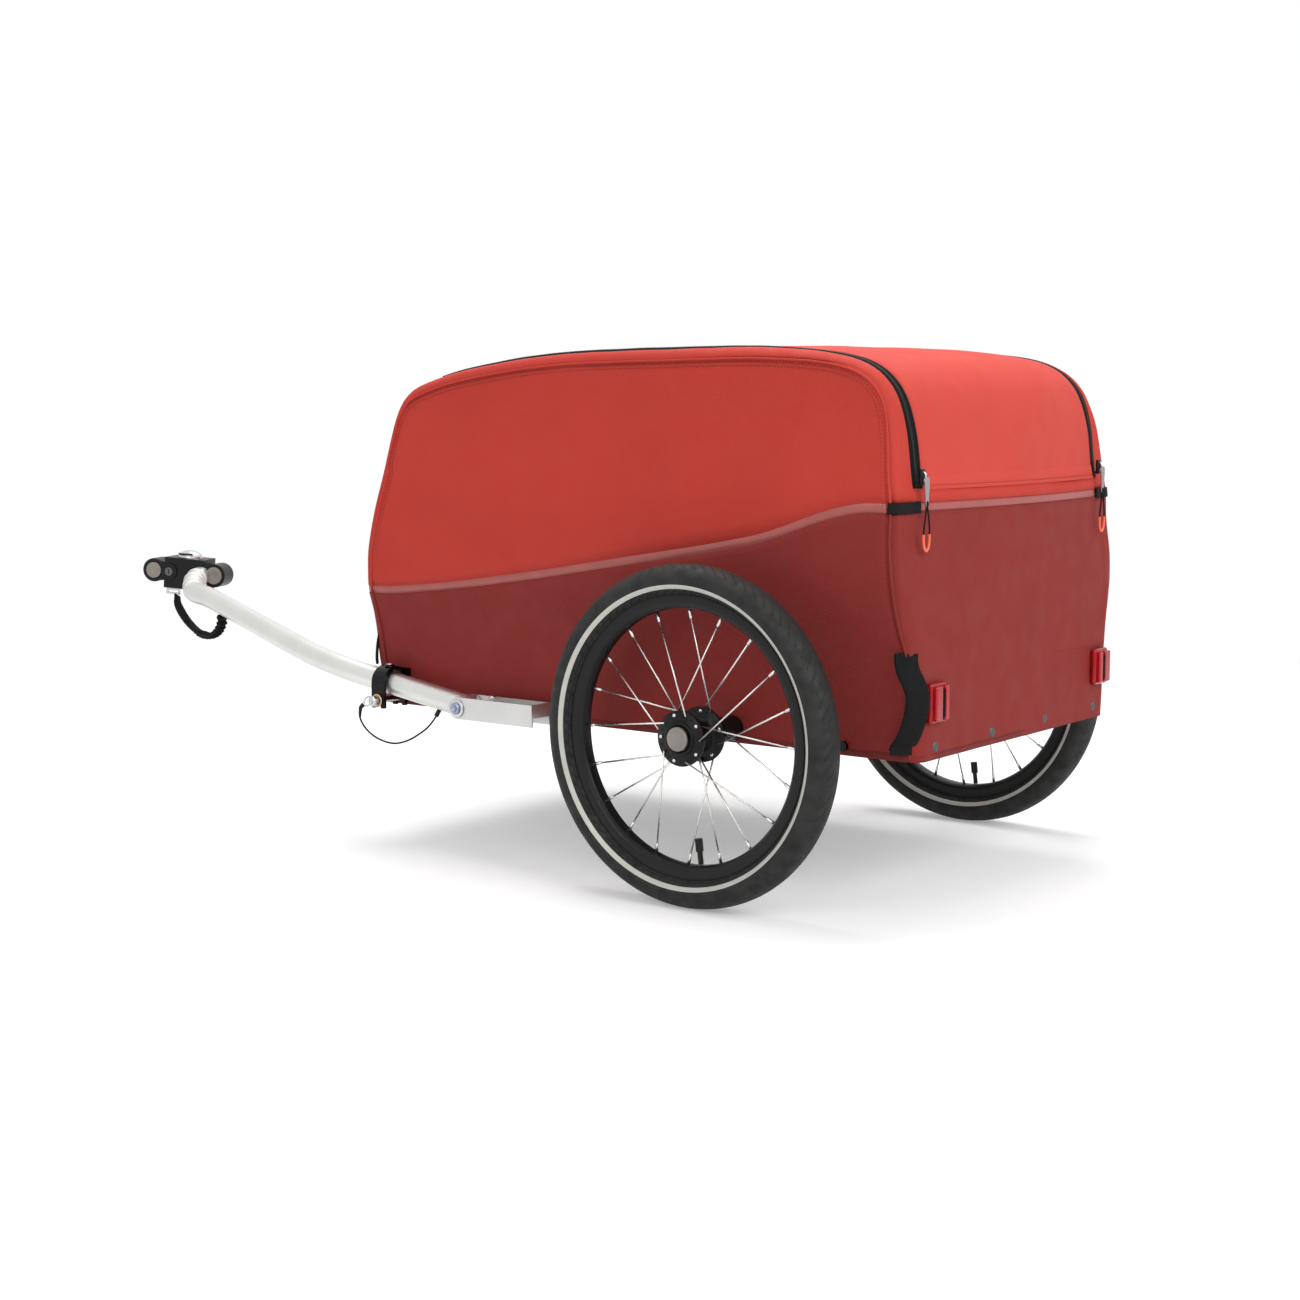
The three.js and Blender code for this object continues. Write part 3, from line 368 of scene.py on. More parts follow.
class Shader(Tree):
    """A material with the inputs of its surface and stacked heights."""

    def __init__(self, name, tone, roughness, metallic=0.0, **inputs):
        self.material = bpy.data.materials.new(name)
        super().__init__(self.material)
        self.colour = self.material.diffuse_color = srgb(tone)
        self.surface = self.nodes["Principled BSDF"]
        basic = {"Base Color": self.colour, "Roughness": roughness, "Metallic": metallic}
        self.fill(self.surface, {**basic, **inputs})
        self.height = None

    def noise(self, size, detail=2.0, roughness=0.5, stretch=(1, 1, 1)):
        place = self.place([s / size for s in stretch])
        return self.node("TexNoise", place, Scale=1, Detail=detail, Roughness=roughness).outputs["Fac"]

    def vary(self, value, first, second, low=0.3, high=0.7):
        """Shades the colour between two shares of itself."""
        stops = [(low, varied(self.colour, first)), (high, varied(self.colour, second))]
        self.fill(self.surface, {"Base Color": self.ramp(value, stops)})

    def roughen(self, value, first, second):
        self.fill(self.surface, {"Roughness": self.ramp(value, [(0.3, first), (0.7, second)])})

    def bump(self, height, distance, strength=1.0):
        """Adds a height to the surface. Heights stack."""
        below = {"Normal": self.height} if self.height else {}
        self.height = self.node("Bump", Height=height, Distance=distance, Strength=strength, **below)
        self.fill(self.surface, {"Normal": self.height})

    def weave(self, pitch):
        """Threads over and under each other, in the cloth's own directions."""
        split = self.node("SeparateXYZ", self.node("TexCoord").outputs["UV"])
        turns = [self.maths("MULTIPLY", split.outputs[axis], math.pi / pitch) for axis in (0, 1)]
        return self.maths("MULTIPLY", *[self.maths("SINE", turn) for turn in turns])


def fabric(name, tone):
    shader = Shader(name, tone, 0.72, Sheen_Weight=0.22, Sheen_Roughness=0.45, Specular_IOR_Level=0.35)
    shader.fill(shader.surface, {"Sheen Tint": varied(shader.colour, 1.4)})
    shader.vary(shader.noise(0.12, 4, 0.55), 0.95, 1.05)
    shader.roughen(shader.noise(0.03, 3), 0.66, 0.8)
    shader.bump(shader.noise(0.06, 2, 0.4), 0.0012, 0.35)
    shader.bump(shader.noise(0.004, 3, 0.6), 0.00025, 0.3)
    shader.bump(shader.weave(CLOTH_PITCH), 0.00018, 0.5)
    return shader.material


def webbing(name, tone, pitch=0.0018):
    shader = Shader(name, tone, 0.82, Specular_IOR_Level=0.2)
    shader.vary(shader.noise(0.006, 3), 0.8, 1.25)
    ribs = shader.node("TexWave", shader.place([0.16 / pitch] * 3), Scale=1, Distortion=0.4)
    shader.bump(ribs.outputs["Fac"], 0.0004, 0.6)
    shader.bump(shader.noise(0.0012, 2), 0.0002, 0.5)
    return shader.material


def metal(name, tone, roughness, stretch=(1, 1, 1)):
    shader = Shader(name, tone, roughness, 1.0)
    lines = shader.noise(0.002, 3, 0.6, stretch)
    shader.roughen(lines, roughness - 0.075, roughness + 0.15)
    shader.vary(shader.noise(0.05, 3), 0.96, 1.03)
    shader.bump(lines, 0.00005, 0.3)
    return shader.material


def plastic(name, tone, roughness, grain=0.0008, depth=0.00008, gloss=0.35):
    shader = Shader(name, tone, roughness, Specular_IOR_Level=gloss)
    shader.roughen(shader.noise(0.01, 3), roughness - 0.06, roughness + 0.08)
    shader.vary(shader.noise(0.03, 2), 0.92, 1.08)
    shader.bump(shader.noise(grain, 2, 0.6), depth, 0.5)
    return shader.material


def tyre_rubber(name, tone):
    """Rubber with slanted cuts over the tread and moulded rings on the sidewall, about its own Y axis."""
    shader = Shader(name, tone, 0.68, Specular_IOR_Level=0.4)
    maths = shader.maths
    shader.vary(shader.noise(0.02, 5, 0.65), 0.7, 1.35)
    shader.roughen(shader.noise(0.015, 4), 0.55, 0.85)
    shader.bump(shader.noise(0.0015, 3, 0.7), 0.00025, 0.55)
    x, y, z = shader.node("SeparateXYZ", shader.node("TexCoord").outputs["Object"]).outputs
    turn = maths("MULTIPLY", maths("ARCTAN2", z, x), TREAD_CUTS / (2 * math.pi))
    aside = maths("ABSOLUTE", y)
    slant = maths("ADD", turn, maths("MULTIPLY", aside, TREAD_SLANT))
    cut = shader.ramp(maths("FRACT", slant), [(0, 0.0), (0.13, 0.0), (0.2, 1.0), (0.95, 1.0), (1, 0.0)])
    uncut = [(0.12, 1.0), (0.18, 0.0), (0.66, 0.0), (0.74, 1.0)]
    where = shader.ramp(maths("DIVIDE", aside, TYRE_HALF), uncut)
    shader.bump(maths("MAXIMUM", cut, where), 0.0016)
    squared = maths("ADD", maths("POWER", x, 2), maths("POWER", z, 2))
    reach = maths("SUBTRACT", maths("SQRT", squared), RIM_RADIUS)
    rings = shader.ramp(
        maths("DIVIDE", reach, TYRE_RADIUS - RIM_RADIUS),
        [(0.06, 0.0), (0.1, 1.0), (0.14, 0.0), (0.42, 0.0), (0.45, 1.0), (0.48, 0.0)],
    )
    shader.bump(rings, 0.0007, 0.8)
    return shader.material


def reflective_tape(name, tone):
    shader = Shader(name, tone, 0.45, 0.15, Specular_IOR_Level=0.6)
    shader.vary(shader.noise(0.02, 4), 0.93, 1.07)
    shader.bump(shader.noise(0.0008, 2), 0.0001, 0.5)
    return shader.material


def red_lens(name, tone):
    shader = Shader(name, tone, 0.22, Specular_IOR_Level=0.4, Coat_Weight=0.12, Coat_Roughness=0.04)
    cells = shader.node("TexVoronoi", shader.place([1 / LENS_CELL] * 3), Scale=1, Randomness=0.12)
    shader.vary(cells.outputs["Distance"], 1.25, 0.45, 0.1, 0.8)
    shader.bump(cells.outputs["Distance"], 0.0006, 0.8)
    return shader.material


red_side = fabric("upper_fabric", (192, 56, 44))
# Painted light: the lid is the side's fabric in a lighter tone, standing in for the stronger light on the top
# and rear.
red_lid_painted_light = fabric("lid_fabric", (202, 68, 57))
red_lower = fabric("lower_fabric", (132, 37, 32))
# Painted shade: the hem strip is the lower fabric in a darker tone, standing in for shade along the lower
# edge.
red_hem_painted_shade = fabric("hem_painted_shade", (112, 34, 31))
band_tape = reflective_tape("reflective_tape", (166, 82, 77))
stripe_tape = reflective_tape("tyre_stripe", (192, 192, 184))
black_web = webbing("black_webbing", (14, 16, 15))
zip_web = webbing("zip_tape", (12, 13, 13), 0.0011)
black_cord = webbing("black_cord", (12, 12, 12), 0.0012)
tube_silver = metal("tow_tube_aluminium", (214, 214, 211), 0.36, (1, 14, 14))
frame_silver = metal("frame_aluminium", (205, 205, 203), 0.38, (1, 12, 12))
plated = metal("plated_steel", (200, 201, 203), 0.22)
spoke_steel = metal("spoke_steel", (214, 212, 208), 0.24)
rivet_grey = metal("rivet_steel", (92, 94, 94), 0.5)
brass_washer = metal("brown_washer", (196, 168, 140), 0.4)
blue_steel = metal("blue_steel", (150, 158, 182), 0.3)
puller_steel = metal("puller_steel", (158, 158, 162), 0.32)
lock_grey = metal("lock_steel", (96, 98, 100), 0.35)
rubber = tyre_rubber("tyre_rubber", (25, 25, 24))
lens_red = red_lens("lens_red", (188, 8, 24))
rim_black = plastic("rim_black", (15, 15, 15), 0.36, 0.002, 0.00003, 0.25)
satin_black = plastic("satin_black_metal", (8, 8, 8), 0.32, 0.003, 0.00003, 0.2)
gloss_black = plastic("gloss_black", (6, 6, 7), 0.22, 0.004, 0.00002, 0.2)
coupler_black = plastic("coupler_black", (10, 11, 12), 0.36, 0.0012, 0.00006, 0.25)
black_plastic = plastic("black_plastic", (14, 15, 15), 0.42, gloss=0.25)
coil_black = plastic("zip_coil", (13, 14, 14), 0.42, gloss=0.3)
zip_black = plastic("zip_slider", (13, 13, 14), 0.34, gloss=0.3)
# Painted shade: near-black plugs fill the unused spoke openings in the hub flanges, where there is only
# shade.
painted_hole_shade = plastic("painted_hole_shade", (6, 6, 6), 0.8)
grey_cap = plastic("grey_cap", (143, 139, 131), 0.5)
white_ring = plastic("white_ring", (232, 231, 227), 0.35)
orange_sleeve = plastic("orange_sleeve", (236, 110, 80), 0.4)
board = plastic("floor_board", (44, 45, 47), 0.6, 0.003, 0.0002)
case_red = plastic("case_red", (160, 8, 18), 0.16, 0.002, 0.00001)
# Painted shade: a near-black copy of the case red, laid in the slot between the lens halves where there is
# only shade.
painted_slot_shade = plastic("painted_slot_shade", (24, 1, 3), 0.8, gloss=0.1)
thread_red = plastic("red_thread", (150, 48, 40), 0.7)
thread_dark = plastic("dark_thread", (92, 30, 28), 0.7)


# Where the tow bar and the coupler stand
TOW_PIVOT = Vector((middle("pivot_bolt").x, middle("tow_bracket").y, middle("pivot_bolt").z))
COUPLER_PLACE = TOW_PIVOT + Vector((-0.715, 0.1525, 0.127))
NECK_FROM_PIVOT = Vector((-0.609, 0.110, 0.098))
COUPLER_YAW = math.radians(25)
COUPLER_PITCH = math.radians(4.5)
COUPLER_FRAME = (
    Matrix.Translation(COUPLER_PLACE)
    @ Matrix.Rotation(COUPLER_YAW, 4, "Z")
    @ Matrix.Rotation(COUPLER_PITCH, 4, "Y")
)


# Cords: the pin's lanyard and the safety strap, with routes in millimetres
LANYARD_RADIUS = 0.0012
SLEEVE_RADIUS = 0.0030
SLEEVE_TAPER = 0.0014
STRAP_WIDTH = 0.016
STRAP_THICKNESS = 0.0024
STRAP_TWIST = math.radians(20)
GATHERED_FROM = 0.46
GATHER_TURNS = 150
GATHER_LIFT = 0.0007
lanyard_route = [
    (-148.9, -41.2, -9.9), (-152, -39, -24), (-148, -33, -38), (-140, -25, -49), (-130, -16, -56),
    (-118, -11, -58), (-105, -9, -55.5), (-92, -7.5, -50.5), (-79, -5.5, -43), (-66, -3, -33.5),
    (-55, -1.5, -21.5), (-47, 0, -8.8),
]
sleeve_route = [(-146, -38.6, -5.2), (-148.9, -41.2, -9.9)]
strap_route = [
    (-8.3, -6.7, -34.4), (-3, -10.5, -45), (13, -18, -57), (35, -24, -71), (64, -32, -82),
    (93, -40, -86.5), (115, -46, -84.5), (134.5, -51.5, -75), (145, -54.3, -62), (145, -54.4, -50.8),
]


def make_lanyard():
    path = smooth_path(relative(TOW_PIVOT, lanyard_route), 90)
    cord = tube_mesh("lanyard", path, LANYARD_RADIUS, 10, black_cord)
    dress(cord, "tow_bar", "black_cord", "pin_lanyard")
    from_ring = smooth_path([*relative(TOW_PIVOT, sleeve_route), *path[1:9:3]], 24)

    def tapered(share):
        return SLEEVE_RADIUS - SLEEVE_TAPER * share

    sleeve = tube_mesh("lanyard_sleeve", from_ring, tapered, 14, black_plastic)
    clip = tube_mesh("lanyard_clip", path[-6:], SLEEVE_RADIUS, 12, black_plastic)
    for piece in (sleeve, clip):
        dress(piece, "tow_bar", "black_plastic")


def gathered(share):
    """How far the strap is bunched up, from none to full, along its length."""
    return min(1, max(0, (share - GATHERED_FROM) / 0.1))


def make_strap():
    path = smooth_path(relative(COUPLER_PLACE, strap_route), 220)

    def across(share):
        turn = COUPLER_YAW - STRAP_TWIST * min(1, 5 * share)
        return Vector((math.sin(turn), -math.cos(turn), 0))

    def thickness(share):
        return STRAP_THICKNESS * (1.1 + 1.3 * gathered(share) * (1.15 + math.sin(GATHER_TURNS * share)))

    def lift(share):
        return GATHER_LIFT * gathered(share) * math.sin(GATHER_TURNS * share + 1.2)

    strap = ribbon_mesh("safety_webbing", path, across, STRAP_WIDTH, thickness, black_web, lift)
    dress(strap, "tow_bar", "black_cord", "safety_strap")


make_lanyard()
make_strap()


# Wheels
WHEEL_STEPS = 160
BED_RADIUS = 0.149
TYRE_MIDDLE = 0.1823
TYRE_RISE = TYRE_RADIUS - TYRE_MIDDLE
TYRE_TURN = 150
RIM_HALF = 0.012
STRIPE_LOW = 0.172
STRIPE_HIGH = 0.177
FLANGE_RADIUS = 0.0325
FLANGE_THICKNESS = 0.004
FLANGE_OUT = 0.017
FLANGE_IN = -0.027
HUB_RADIUS = 0.018
HUB_FOOT = 0.0035
HUB_EDGE = 0.0006
COLLAR_RADIUS = 0.020
COLLAR = 0.003
BORE_RADIUS = 0.0143
HOLE_CIRCLE = 0.0275
HOLE_RADIUS = 0.0013
SPOKES_PER_FLANGE = 10
SPOKE_RADIUS = 0.00105
SPOKE_ASIDE = FLANGE_THICKNESS / 2 + 0.0008
NIPPLE_LENGTH = 0.0125
NIPPLE_RADIUS = 0.0019
HEAD_RADIUS = 0.0023
HEAD_HEIGHT = 0.0014


def tyre_profile():
    bead = mm([(160, 10.2), (164.5, 10.7)])
    turns = [math.radians(TYRE_TURN * (k / 18 - 1)) for k in range(37)]
    outside = [(TYRE_MIDDLE + TYRE_RISE * math.cos(turn), TYRE_HALF * math.sin(turn)) for turn in turns]
    return [(radius, -along) for radius, along in bead] + outside + bead[::-1]


def stripe_profile(side):
    rows = []
    for radius in np.linspace(STRIPE_LOW, STRIPE_HIGH, 7):
        turn = math.acos((radius - TYRE_MIDDLE) / TYRE_RISE)
        rows.append((radius - 0.1 * MM, side * (TYRE_HALF * math.sin(turn) + 0.3 * MM)))
    return rows


def rim_profile():
    lip, wall, bed = RIM_RADIUS + 0.0002, RIM_RADIUS - 0.002, BED_RADIUS + 0.004
    half = [
        (BED_RADIUS, 0.0055), (BED_RADIUS + 0.0006, 0.0072), (bed, 0.0112), (bed + 0.002, 0.0119),
        (wall, RIM_HALF), (lip, RIM_HALF - 0.0003), (lip, RIM_HALF - 0.0012), (wall, RIM_HALF - 0.002),
        (bed + 0.003, 0.0095), (bed + 0.0015, 0.006),
    ]
    return half + [(radius, -along) for radius, along in half[::-1]]


def flange_profile(outer):
    inner = outer - FLANGE_THICKNESS
    half = [(FLANGE_RADIUS - HUB_EDGE, outer), (FLANGE_RADIUS, outer - HUB_EDGE)]
    return half + [(FLANGE_RADIUS, inner + HUB_EDGE), (FLANGE_RADIUS - HUB_EDGE, inner)]


def hub_profile():
    face, end = FLANGE_OUT + COLLAR, FLANGE_IN - COLLAR
    first, second = FLANGE_OUT - FLANGE_THICKNESS, FLANGE_IN + FLANGE_THICKNESS
    return [
        (BORE_RADIUS, face), (COLLAR_RADIUS - HUB_EDGE, face), (COLLAR_RADIUS, face - HUB_EDGE),
        (COLLAR_RADIUS + 0.0001, FLANGE_OUT + 0.0004), (COLLAR_RADIUS + 0.0005, FLANGE_OUT),
        *flange_profile(FLANGE_OUT),
        (HUB_RADIUS + HUB_FOOT, first), (HUB_RADIUS, first - 0.004), (HUB_RADIUS - HUB_EDGE, -0.005),
        (HUB_RADIUS, second + 0.004), (HUB_RADIUS + HUB_FOOT, second),
        *flange_profile(second),
        (COLLAR_RADIUS, FLANGE_IN), (COLLAR_RADIUS, end), (BORE_RADIUS, end),
    ]


button_profile = [
    (0, -1), (9.4, -1), (10, -0.6), (10.6, 0), (12.6, 0), (13.7, -0.5), (14, -1.4), (14, -3.4),
    (3, -3.6), (3, -19), (0, -19),
]


def make_wheel(side_name, side):
    low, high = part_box("tyre_" + side_name)
    centre = (low + high) / 2

    def at_wheel(thing, slot, *replaced):
        thing.location = centre
        return dress(thing, "wheel_" + side_name, slot, *replaced)

    def round_part(name, profile, material, closed):
        rows = [(radius, side * along) for radius, along in profile]
        return turned_mesh(name + side_name, rows, WHEEL_STEPS, material, closed=closed)

    at_wheel(round_part("tread_", tyre_profile(), rubber, False), "tyre", "tyre_" + side_name)
    for face, face_name in ((-1, "in"), (1, "out")):
        at_wheel(round_part("stripe_%s_" % face_name, stripe_profile(face), stripe_tape, False), "tyre")
    rim = bevelled(round_part("hoop_", rim_profile(), rim_black, True), 0.3 * MM, 2)
    at_wheel(rim, "rim", "rim_" + side_name)
    shell = round_part("hub_", hub_profile(), satin_black, True)
    at_wheel(shell, "black_metal", "hub_and_spokes_" + side_name)
    for name, runs, sides, material, slot in spoke_runs(side):
        at_wheel(several_tubes(name + side_name, runs, sides, material), slot)

    low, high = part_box("axle_button_" + side_name)
    rows = [(radius, side * along) for radius, along in mm(button_profile)]
    place = Vector((centre.x, low.y if side < 0 else high.y, centre.z))
    cap = turned_mesh("cap_" + side_name, rows, 64, grey_cap, place)
    dress(cap, "axle_button_" + side_name, "grey_plastic", "axle_button_" + side_name)


def spoke_runs(side):
    """Crossed spokes with their nipples and heads, and near-black plugs in the flanges' free openings, which
    are painted shade.
    """
    step = 2 * math.pi / SPOKES_PER_FLANGE
    bars, nipples, heads, shade_plugs = [], [], [], []

    def polar(radius, turn, along):
        return Vector((side * radius * math.cos(turn), side * along, radius * math.sin(turn)))

    def nipple_radius(share):
        return NIPPLE_RADIUS * (0.75 + 0.25 * min(1, 3 * share))

    def head_radius(share):
        return HEAD_RADIUS * math.sqrt(1 - (0.96 * share) ** 2)

    for outer, offset in ((FLANGE_OUT, 0.0), (FLANGE_IN + FLANGE_THICKNESS, step / 2)):
        flange = outer - FLANGE_THICKNESS / 2
        for k in range(SPOKES_PER_FLANGE):
            turn = k * step + offset
            aside = 1 if k % 2 else -1
            seat = polar(BED_RADIUS, turn - aside * step, 0)
            start = polar(HOLE_CIRCLE, turn, flange + aside * SPOKE_ASIDE)
            way = (seat - start).normalized()
            tip = seat - way * NIPPLE_LENGTH
            bars.append(([start, tip], SPOKE_RADIUS))
            nipples.append(([tip, tip + way * MM, seat], nipple_radius))
            face = polar(HOLE_CIRCLE, turn, flange - aside * FLANGE_THICKNESS / 2)
            away = Vector((0, -side * aside * HEAD_HEIGHT / 5, 0))
            heads.append(([face + away * q for q in range(6)], head_radius))
            # A near-black plug in the free opening between spokes: painted shade.
            hole = polar(HOLE_CIRCLE, turn + step / 2, flange)
            across = Vector((0, side * (FLANGE_THICKNESS / 2 + 0.15 * MM), 0))
            shade_plugs.append(([hole - across, hole + across], HOLE_RADIUS))
    return [
        ("spokes_", bars, 10, spoke_steel, "steel"),
        ("nipples_", nipples, 12, spoke_steel, "steel"),
        ("spoke_heads_", heads, 14, plated, "steel"),
        ("flange_hole_shade_plugs_", shade_plugs, 12, painted_hole_shade, "black_metal"),
    ]


for side_name, side in SIDES:
    make_wheel(side_name, side)


# Tow bar, pin and coupler, with small profiles in millimetres
TUBE_RADIUS = 0.015
STRAIGHT_LENGTH = 0.210
TOW_REACH = Vector((-0.240, 0, 0.037)).normalized()
COUPLER_HALF = 0.049
ELBOW_BASE = COUPLER_HALF - 0.021
RING_BULGE = 0.0009
PIN_AHEAD = 0.136
PIN_RING_RADIUS = 0.0066
WIRE_RADIUS = 0.0013
ARC_RADIUS = 0.0172
tow_bend_shares = [(0, 0, 0), (0.187, 0.106, 0.176), (0.384, 0.319, 0.368), (0.736, 0.708, 0.735), (1, 1, 1)]
elbow_shares = [(0.8, -3.3, -1.3), (0, -1.5, -0.5), (0, -0.25, -0.2), (0, 1.05, -0.2)]


def tow_path():
    route = [TOW_PIVOT + TOW_REACH * (STRAIGHT_LENGTH * k / 3) for k in range(3)]
    bend = TOW_PIVOT + TOW_REACH * STRAIGHT_LENGTH
    reach = TOW_PIVOT + NECK_FROM_PIVOT - bend
    route += [bend + Vector([a * b for a, b in zip(row, reach)]) for row in tow_bend_shares]
    base = Vector((ELBOW_BASE, 0, 0))
    route += [COUPLER_FRAME @ (Vector(row) * TUBE_RADIUS + base) for row in elbow_shares]
    return smooth_path(route, 240)


def make_tow_bar():
    path = tow_path()
    tube = tube_mesh("tow_bar_tube", path, TUBE_RADIUS, 64, tube_silver)
    half = [(0, -14.6), (14, -14.6), (14.7, -13.9)]
    rows = half + [(radius, -along) for radius, along in half[::-1]]
    eye = turned_mesh("tow_bar_eye", mm(rows), 48, tube_silver, TOW_PIVOT)
    dress(join_objects("tow_bar_tube", [tube, eye]), "tow_bar", "tow_aluminium", "tow_tube")

    def bulged(share):
        return TUBE_RADIUS + RING_BULGE * math.sin(math.pi * min(max(share, 0.02), 0.98))

    for k, start in enumerate((217, 221, 225, 229)):
        ring = tube_mesh("elbow_ring_%d" % k, path[start : start + 4], bulged, 48, white_ring)
        dress(ring, "tow_bar", "tow_aluminium")


def make_pin():
    place = Vector((TOW_PIVOT.x - PIN_AHEAD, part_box("tow_saddle")[0].y, middle("locking_pin").z))
    rows = [
        (0, -12.5), (3.6, -12.2), (5.8, -11.2), (6.6, -9.8), (6.8, -5), (6.2, -4), (4.6, -3.6),
        (4.4, -1.8), (4, -1.2), (4, 44), (0, 44),
    ]
    head = turned_mesh("pin_head", mm(rows), 48, plated, place)
    centre = place - Vector((0.005, 0.0132, 0))
    up = Vector((0, 0.5, 0.866))
    path = [centre + (WAY_X * cos + up * sin) * PIN_RING_RADIUS for cos, sin in [*circle(40), (1, 0)]]
    ring = tube_mesh("pin_ring", path, WIRE_RADIUS, 10, plated)
    dress(join_objects("pin_with_ring", [head, ring]), "locking_pin", "steel", "locking_pin")
    rows = [(4.4, -0.4), (8.5, -0.4), (8.9, -0.8), (8.9, -1.8), (8.2, -2.4), (4.4, -2.4)]
    turned_detail("pin_washer", rows, 40, brass_washer, place, "trailer_frame", "steel", closed=True)


def make_saddle_boss():
    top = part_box("tow_saddle")[1].z
    seat = Vector((TOW_PIVOT.x - PIN_AHEAD + 0.003, TOW_PIVOT.y - 0.002, top - 0.0006))
    rows = [(0, 2.6), (5.2, 2.6), (6.2, 1.8), (7, 0)]
    turned_detail("saddle_boss", rows, 40, gloss_black, seat, "trailer_frame", "black_metal", axis="Z")
    rows = [(1.8, 3), (2.4, 3.6), (3.6, 3.6), (4.2, 2.8), (4.2, 2.2), (1.8, 2.2)]
    turned_detail("saddle_screw", rows, 40, plated, seat, "trailer_frame", "steel", axis="Z", closed=True)


def make_pivot_parts():
    bracket_low, bracket_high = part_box("tow_bracket")
    place = Vector((TOW_PIVOT.x, bracket_low.y - 0.0003, TOW_PIVOT.z))
    rows = [(4, 0), (11.6, 0), (12, -0.4), (12, -1.5), (11.5, -2), (4, -2)]
    washer = turned_mesh("pivot_washer", mm(rows), 56, plated, place, closed=True)
    place.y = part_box("pivot_bolt")[0].y
    rows = [
        (0, 1.8), (3.4, 1.8), (3.8, 0.2), (6.2, 0), (7.2, 0.8), (7.5, 1.8), (7.5, 3.2), (5, 3.4),
        (5, 41), (0, 41),
    ]
    head = turned_mesh("pivot_head", mm(rows), 56, blue_steel, place)
    dress(join_objects("pivot_bolt_parts", [washer, head]), "trailer_frame", "steel", "pivot_bolt")
    rows = [(0, 2.8), (2.6, 2.4), (4.4, 1.2), (5, 0)]
    place = Vector((0.099, -0.2545, bracket_high.z))
    turned_detail("bracket_rivet", rows, 32, plated, place, "trailer_frame", "steel", axis="Z")


def make_coupler_details():
    disc = [(0, -1.2), (4, -1.2), (4.6, -1.8), (11.8, -1.8), (12.8, -1.2), (13.1, 0), (13.1, 2), (0, 2)]
    bolt = [(0, -1.6), (2.6, -3), (4.2, -3), (4.8, -2.2), (4.8, 0)]
    collar = [(12.4, -0.6), (15, -1), (17.2, -0.2), (17.6, 1), (12.4, 1)]
    details = [
        ("rear_cap", disc, 56, grey_cap, "grey_plastic", (COUPLER_HALF, 0, 0), False),
        ("rear_bolt", bolt, 40, plated, "steel", (COUPLER_HALF - 0.012, 0, 0.001), False),
        ("button_collar", collar, 64, black_plastic, "black_plastic", (-COUPLER_HALF, 0, 0), True),
    ]
    for name, rows, segments, material, slot, place, closed in details:
        piece = turned_mesh(name, mm(rows), segments, material, closed=closed)
        piece.matrix_world = COUPLER_FRAME @ Matrix.Translation(place)
        dress(piece, "tow_bar", slot)
    low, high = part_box("coupler_top_cap")
    centre = Vector(((low.x + high.x) / 2, (low.y + high.y) / 2, high.z - 0.0052))
    turns = np.radians(np.linspace(150, 330, 30))
    path = [centre + Vector((math.cos(turn), math.sin(turn), 0)) * ARC_RADIUS for turn in turns]
    dress(tube_mesh("dome_arc", path, WIRE_RADIUS, 10, black_plastic), "tow_bar", "black_plastic")


make_tow_bar()
make_pin()
make_saddle_boss()
make_pivot_parts()
make_coupler_details()


# Body sizes, from the rails that the cover goes round
COVER_TO_RAIL = 0.007
HEM_BELOW_RAIL = 0.006
CROWN = 0.004
SOLID_CROWN = 0.009
rail_low, rail_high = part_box("base_frame")
FRONT = rail_low.x - COVER_TO_RAIL
REAR = rail_high.x + COVER_TO_RAIL
HALF = rail_high.y + COVER_TO_RAIL
BOTTOM = rail_low.z - HEM_BELOW_RAIL
LENGTH = REAR - FRONT
MIDDLE = FRONT + LENGTH / 2
HIGHEST_SHARE = 1.002
HEIGHT = (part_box("lid_roof")[1].z - SOLID_CROWN - BOTTOM) / HIGHEST_SHARE
FRONT_SWELL = 0.024
REAR_SWELL = 0.006
REAR_BOW = 0.026
SIDE_SWELL = 0.028
FRONT_CORNER = 0.020
REAR_CORNER = 0.016
REAR_WIDER = 0.010
BOW_END = 0.88
BACK_FROM, BACK_RUN = 0.55, 0.35
WIDER_FROM, WIDER_RUN = 0.08, 0.4
CROWN_END = 1.2
CROWN_POWER = 2.5
EDGE_BLEND = 0.017
PROFILE_CENTRE = (MIDDLE, BOTTOM + HEIGHT * 0.42)
PROFILE_STEPS = 900
HALVINGS = 34
FAR = 0.75
NEAR = 0.3

# Share of the height, then shares of the front, rear and side swell and of the rear bow
wall_shares = np.array([
    (-0.05, 0.2, 0, 0, 0), (0, 0.25, 0, 0, 0), (0.07, 0.42, 0.05, 0.05, 0),
    (0.17, 0.65, 0.1, 0.12, 0), (0.26, 0.66, 0.25, 0.35, 0.15), (0.32, 0.68, 0.35, 0.62, 0.3),
    (0.37, 0.5, 0.5, 0.85, 0.45), (0.455, 0.24, 0.6, 1, 0.7), (0.555, -0.1, 0.8, 0.9, 0.98),
    (0.67, -0.62, 0.95, 0.68, 1.02), (0.785, -0.98, 1, 0.4, 1.08), (0.89, -1.15, 1, 0.12, 1.15),
    (1.12, -1.3, 1, 0, 1.2),
])
